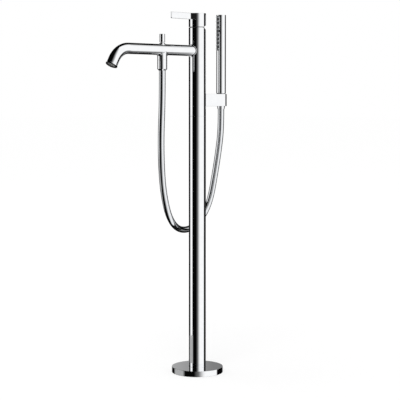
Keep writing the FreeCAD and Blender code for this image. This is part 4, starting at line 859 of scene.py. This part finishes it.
@dataclass
class Spout:
    """Bent tube welded to the column, with a lip and a seat at its mouth and a boss under it."""

    radius: float = 13.0
    straight: float = 226.0
    bend_radius: float = 51.0
    bend: float = 61.0
    tail: float = 15.0
    fillet: float = 2.5
    column: float = 21.0
    boss_radius: float = 11.8
    boss_bottom: float = 766.0
    seat_radius: float = 12.0
    seat_depth: float = 9.0
    lip_radius: float = 14.2
    lip_length: float = 1.6
    start: float = -15.0            # the run ends inside the column
    wall: float = 2.0
    bore_depth: float = 20.0        # behind the seat
    saddle_depth: float = 0.9       # share of the column's radius at which the saddle ends
    boss_edge: float = 0.35
    boss_depth: float = 0.8         # share of its width at which the boss ends inside the spout
    boss_rise: float = 4.0          # and how far up

    def build(self) -> None:
        """Build the run, its saddle and its boss as one piece, and dress it."""
        run = self.run()
        whole = join(run, self.saddle(), self.boss())
        dress(whole, CHROME, "chrome", "root", "spout_tube")

    def run(self) -> bpy.types.Object:
        """Straight run, bend, tail and the seat in its end."""
        bpy.ops.object.select_all(action="DESELECT")
        bpy.ops.mesh.primitive_circle_add(vertices=FINE, radius=self.radius * MM, fill_type="NGON",
                                          location=(0.0, self.start * MM, SPOUT_AXIS * MM),
                                          rotation=(math.pi / 2, 0.0, 0.0))
        run = bpy.context.active_object
        run.name = run.data.name = "spout_pipe"
        settle(run)
        bpy.ops.object.mode_set(mode="EDIT")
        bpy.ops.mesh.select_all(action="SELECT")
        bpy.ops.mesh.delete(type="ONLY_FACE")
        bpy.ops.mesh.select_all(action="SELECT")
        extrude((0.0, -(self.straight + self.start) * MM, 0.0))
        # With no window the operator turns the other way, so the angle is given with its sign changed.
        bpy.ops.mesh.spin(steps=32, angle=-math.radians(self.bend), axis=(1.0, 0.0, 0.0),
                          center=(0.0, -self.straight * MM, (SPOUT_AXIS - self.bend_radius) * MM))
        angle = math.radians(self.bend)
        along = Vector((0.0, -math.cos(angle), -math.sin(angle)))
        extrude(tuple(along * (self.tail - self.lip_length) * MM))
        end = Vector((0.0, -self.straight - self.bend_radius * math.sin(angle),
                      SPOUT_AXIS - self.bend_radius * (1 - math.cos(angle)))) + along * self.tail
        self.step(end - along * self.lip_length, self.lip_radius / self.radius)
        extrude(tuple(along * self.lip_length * MM))
        self.step(end, self.seat_radius / self.lip_radius)
        extrude(tuple(along * -self.seat_depth * MM))
        self.step(end - along * self.seat_depth, (self.radius - self.wall) / self.seat_radius)
        extrude(tuple(along * -self.bore_depth * MM))
        bpy.ops.mesh.edge_face_add()
        start = (self.start - 0.1) * MM
        pick(run, lambda co: co.y > start)
        bpy.ops.mesh.edge_face_add()
        outward()
        bpy.ops.object.mode_set(mode="OBJECT")
        return soften(run, 0.25)

    @staticmethod
    def step(centre: Vector, ratio: float) -> None:
        """Step the selected ring in or out in its own plane, about a centre in millimetres."""
        extrude()
        bpy.ops.transform.resize(value=(ratio, ratio, ratio), center_override=tuple(centre * MM))

    def saddle(self) -> bpy.types.Object:
        """Fillet between the spout and the column, as a ball that rolls round the weld leaves it."""
        spout_ball, column_ball = self.radius + self.fillet, self.column + self.fillet
        loops: list[list[Vector]] = [[] for _ in range(11)]
        for index in range(FINE):
            angle = 2 * math.pi * index / FINE
            across, up = math.sin(angle), math.cos(angle)
            ball = Vector((spout_ball * across,
                           -math.sqrt(column_ball ** 2 - (spout_ball * across) ** 2),
                           SPOUT_AXIS + spout_ball * up))
            on_spout = Vector((self.radius * across, ball.y, SPOUT_AXIS + self.radius * up))
            on_column = Vector((ball.x * self.column / column_ball,
                                ball.y * self.column / column_ball, ball.z))
            inside = Vector((on_column.x * self.saddle_depth, on_column.y * self.saddle_depth,
                             on_column.z))
            buried = Vector(((self.radius - 1) * across, ball.y, SPOUT_AXIS + (self.radius - 1) * up))
            arc = arc_between(ball, on_spout, on_column, 8)
            for loop, point in zip(loops, [buried, *arc, inside]):
                loop.append(point * MM)
        return skin("saddle", loops)

    def boss(self) -> bpy.types.Object:
        """Boss under the spout, filleted into it."""
        boss_ball, spout_ball = self.boss_radius + self.fillet, self.radius + self.fillet
        edge, shrunk = self.boss_edge, 1 - self.boss_edge / self.boss_radius
        loops: list[list[Vector]] = [[] for _ in range(13)]
        for index in range(FINE):
            angle = 2 * math.pi * index / FINE
            across, along = math.cos(angle), math.sin(angle)
            ball = Vector((boss_ball * across, OUTLET_Y + boss_ball * along,
                           SPOUT_AXIS - math.sqrt(spout_ball ** 2 - (boss_ball * across) ** 2)))
            on_boss = Vector((self.boss_radius * across, OUTLET_Y + self.boss_radius * along, ball.z))
            on_spout = Vector((ball.x * self.radius / spout_ball, ball.y,
                               SPOUT_AXIS + (ball.z - SPOUT_AXIS) * self.radius / spout_ball))
            buried = Vector((on_spout.x * self.boss_depth,
                             OUTLET_Y + (on_spout.y - OUTLET_Y) * self.boss_depth,
                             on_spout.z + self.boss_rise))
            low = [Vector((on_boss.x * shrunk, OUTLET_Y + (on_boss.y - OUTLET_Y) * shrunk,
                           self.boss_bottom)),
                   Vector((on_boss.x, on_boss.y, self.boss_bottom + edge)),
                   on_boss - Vector((0.0, 0.0, 0.4))]
            arc = arc_between(ball, on_boss, on_spout, 8)
            for loop, point in zip(loops, [*low, *arc, buried]):
                loop.append(point * MM)
        return skin("boss", loops)


@dataclass
class Diverter:
    """Pull-up knob on its neck, and the nut that holds the hose to the boss."""

    neck_radius: float = 5.25
    neck_top: float = 808.0
    fillet: float = 2.5
    spout_radius: float = 13.0
    knob_radius: float = 6.75
    knob_bottom: float = 808.3
    knob_top: float = 827.3
    knob_bore: tuple[float, float] = (2.0, 12.0)        # radius and depth
    sides: int = 96                 # of the neck and the knob
    barrel_radius: float = 6.4      # of the neck inside the spout
    barrel_rise: float = 10.0
    nut_radius: float = 11.8
    nut_top: float = 765.85
    nut_bottom: float = 741.05
    nut_hole: float = 8.1
    nut_taper: float = 3.5
    nut_bore: float = 10.5
    nut_floor: float = 7.0

    def build(self) -> None:
        """Build and dress the neck, the knob and the nut."""
        dress(self.neck(), CHROME, "chrome", "root", "diverter_bonnet")
        hole, deep = self.knob_bore[0], self.knob_bottom + self.knob_bore[1]
        knob = soften(turn("pull_knob", [
            (0, self.knob_top), (self.knob_radius, self.knob_top), (self.knob_radius, self.knob_bottom),
            (hole, self.knob_bottom), (hole, deep), (0, deep)],
            foot=(0, OUTLET_Y), sides=self.sides), 0.5, 4)
        dress(knob, CHROME, "chrome", "diverter", "diverter_knob")
        # The photograph's column mirrors no knob either.
        knob.visible_glossy = False
        floor = self.nut_bottom + self.nut_floor
        nut = soften(turn("hose_collar_nut", [
            (self.nut_hole, self.nut_bottom), (self.nut_radius - self.nut_taper, self.nut_bottom),
            (self.nut_radius, self.nut_bottom + self.nut_taper), (self.nut_radius, self.nut_top),
            (self.nut_bore, self.nut_top), (self.nut_bore, floor), (self.nut_hole, floor)],
            foot=(0, OUTLET_Y)), 0.3)
        dress(nut, CHROME, "chrome", "root", "hose_nut")

    def neck(self) -> bpy.types.Object:
        """Neck under the knob, filleted into the spout's top, with its barrel inside the spout."""
        neck_ball, spout_ball = self.neck_radius + self.fillet, self.spout_radius + self.fillet
        loops: list[list[Vector]] = [[] for _ in range(13)]
        for index in range(self.sides):
            angle = 2 * math.pi * index / self.sides
            across, along = math.cos(angle), math.sin(angle)

            def at(radius: float, height: float) -> Vector:
                """A point on a ring round the knob's axis."""
                return Vector((radius * across, OUTLET_Y + radius * along, height))

            ball = at(neck_ball, SPOUT_AXIS + math.sqrt(spout_ball ** 2 - (neck_ball * across) ** 2))
            on_neck = at(self.neck_radius, ball.z)
            on_spout = Vector((ball.x * self.spout_radius / spout_ball, ball.y,
                               SPOUT_AXIS + (ball.z - SPOUT_AXIS) * self.spout_radius / spout_ball))
            arc = arc_between(ball, on_neck, on_spout, 7)
            for loop, point in zip(loops, [at(self.neck_radius - 0.3, self.neck_top),
                                           at(self.neck_radius, self.neck_top - 0.3),
                                           at(self.neck_radius, ball.z + 0.3), *arc,
                                           at(self.barrel_radius, SPOUT_AXIS + self.barrel_rise),
                                           at(self.barrel_radius, SPOUT_AXIS)]):
                loop.append(point * MM)
        return skin("diverter_neck", loops)


# ------------------------------------------------------------------------------------------
# Handset and holder
# ------------------------------------------------------------------------------------------

@dataclass
class Handset:
    """Stick handset with its nozzle strip, lid and conical nut."""

    radius: float = 11.9
    bore: float = 10.7
    bottom: float = 686.3
    top: float = 881.0
    rounding: float = 2.5
    mouth: float = 8.5              # radius of the opening at the bottom
    floor: float = 4.0              # thickness round it
    play: float = 0.05              # round the lid and the strip
    strip_wall: float = 0.6         # of the strip inside the bore
    nozzle_sides: int = 24
    strip_width: float = 9.4
    strip_bottom: float = 793.4
    strip_top: float = 879.0
    first_row: float = 797.4
    pitch: float = 9.7
    rows: int = 9
    nozzle_angle: float = 18.0
    nozzle_reach: float = 2.6
    cone_end: float = 648.0
    cone_start: float = 664.0
    cone_radius: float = 11.5
    cone_end_radius: float = 8.5
    cone_hole: float = 7.96
    cone_bore: float = 10.5
    cone_floor: float = 2.0

    def window(self, width: float, name: str) -> bpy.types.Object:
        """Block in front of the axis, as wide as the slot or as the strip in it."""
        return block(name, (-width / 2, HANDSET_Y - self.radius - 5, self.strip_bottom),
                     (width / 2, HANDSET_Y, self.strip_top))

    def build(self) -> None:
        """Build and dress the four pieces."""
        foot = (0, HANDSET_Y)
        corner = [(self.radius - self.rounding * (1 - math.sin(math.radians(a))),
                   self.bottom + self.rounding * (1 - math.cos(math.radians(a))))
                  for a in range(0, 91, 15)]
        barrel = turn("handset_barrel", [
            (self.mouth, self.bottom), *corner, (self.radius, self.top), (self.bore, self.top),
            (self.bore, self.bottom + self.floor), (self.mouth, self.bottom + self.floor)], foot=foot)
        combine(barrel, self.window(self.strip_width, "slot"), "DIFFERENCE")
        dress(soften(barrel, 0.25), CHROME, "chrome", "handset", "handset_tube")
        lid = soften(turn("handset_lid", [
            (0, self.top), (self.bore - self.play, self.top),
            (self.bore - self.play, self.strip_top), (0, self.strip_top)], foot=foot), 0.2)
        dress(lid, CHROME, "chrome", "handset", "handset_end_cap")
        strip = self.strip()
        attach(strip, "handset")
        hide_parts("nozzle_strip")
        LOG.info("%s rides on handset", strip.name)
        floor = self.cone_start + self.cone_floor
        cone = soften(turn("handset_cone", [
            (self.cone_hole, self.cone_end), (self.cone_end_radius, self.cone_end),
            (self.cone_radius, self.cone_start), (self.cone_radius, self.bottom),
            (self.cone_bore, self.bottom), (self.cone_bore, floor), (self.cone_hole, floor)],
            foot=foot), 0.3)
        dress(cone, CHROME, "chrome", "handset", "handset_cone_nut")

    def strip(self) -> bpy.types.Object:
        """Curved strip in the slot with its two columns of nozzles."""
        inner, outer = self.bore - self.strip_wall, self.radius - self.play
        strip = turn("spray_strip", [
            (inner, self.strip_bottom), (outer, self.strip_bottom), (outer, self.strip_top),
            (inner, self.strip_top)], foot=(0, HANDSET_Y))
        combine(strip, self.window(self.strip_width - 0.1, "trim"), "INTERSECT")
        soften(strip, 0.15, 2)
        first = soften(turn("nozzle", [
            (0.5, -1.0), (1.9, -1.0), (1.9, 0.3), (1.3, self.nozzle_reach), (0.5, self.nozzle_reach)],
            sides=self.nozzle_sides), 0.15, 2)
        pieces = []
        for row in range(self.rows):
            for side in (-1, 1):
                angle = math.radians(side * self.nozzle_angle)
                out = Vector((math.sin(angle), -math.cos(angle), 0.0))
                copy = first.copy()
                copy.data = first.data.copy()
                bpy.context.collection.objects.link(copy)
                base = Vector((0.0, HANDSET_Y, self.first_row + row * self.pitch)) + out * self.radius
                spin = Vector((0.0, 0.0, 1.0)).rotation_difference(out).to_matrix().to_4x4()
                copy.matrix_world = Matrix.Translation(base * MM) @ spin
                pieces.append(settle(copy))
        bpy.data.objects.remove(first, do_unlink=True)
        strip.data.materials.append(SILICONE.material())
        # The nozzles take the pale copy of the strip's silicone: a painted highlight.
        for piece in pieces:
            piece.data.materials.clear()
            piece.data.materials.append(SILICONE_PAINTED_HIGHLIGHT.material())
        return join(strip, *pieces)


@dataclass
class Holder:
    """Flat-sided bracket with a round end, on the back of the column."""

    width: float = 28.0
    bottom: float = 656.0
    top: float = 686.0
    bore: float = 12.7
    column: float = 20.95
    start: float = 10.0             # the arm begins inside the column
    past: float = 5.0               # how far the cutters reach past the arm

    def build(self) -> None:
        """Build and dress the bracket."""
        half = self.width / 2 * MM
        bpy.ops.object.select_all(action="DESELECT")
        bpy.ops.mesh.primitive_circle_add(vertices=FINE, radius=half, fill_type="NOTHING",
                                          location=(0.0, HANDSET_Y * MM, self.bottom * MM))
        arm = bpy.context.active_object
        arm.name = arm.data.name = "holder_arm"
        settle(arm)
        bpy.ops.object.mode_set(mode="EDIT")
        middle = HANDSET_Y * MM
        pick(arm, lambda co: co.y < middle - TOUCH)
        bpy.ops.mesh.delete(type="VERT")
        pick(arm, lambda co: co.y < middle + TOUCH)
        extrude((0.0, (self.start - HANDSET_Y) * MM, 0.0))
        bpy.ops.mesh.select_all(action="SELECT")
        bpy.ops.mesh.edge_face_add()
        bpy.ops.mesh.select_all(action="SELECT")
        extrude((0.0, 0.0, (self.top - self.bottom) * MM))
        outward()
        bpy.ops.object.mode_set(mode="OBJECT")
        for name, radius, y in (("column_cut", self.column, 0.0), ("bore_cut", self.bore, HANDSET_Y)):
            high, low = self.top + self.past, self.bottom - self.past
            cutter = turn(name, [(0, high), (radius, high), (radius, low), (0, low)], foot=(0, y))
            combine(arm, cutter, "DIFFERENCE")
        dress(soften(arm, 1.0, 5), CHROME, "chrome", "root", "handset_holder")


# ------------------------------------------------------------------------------------------
# Everything
# ------------------------------------------------------------------------------------------

def dress_nodes() -> None:
    """Give every CAD node the finish of its slot."""
    slots = {part["node"]: part["material_slot"] for part in frame["record"]["subparts"]}
    for name, obj in frame["nodes"].items():
        for place in obj.material_slots:
            place.material = BY_SLOT[slots[name]].material()


def main() -> None:
    """Build the studio and every sub-assembly in order."""
    logging.basicConfig(level=logging.INFO)
    Studio().build()
    Hose().build()
    dress_nodes()
    for assembly in (Column(), Handle(), Spout(), Diverter(), Handset(), Holder()):
        assembly.build()


if __name__ == "__main__":
    main()
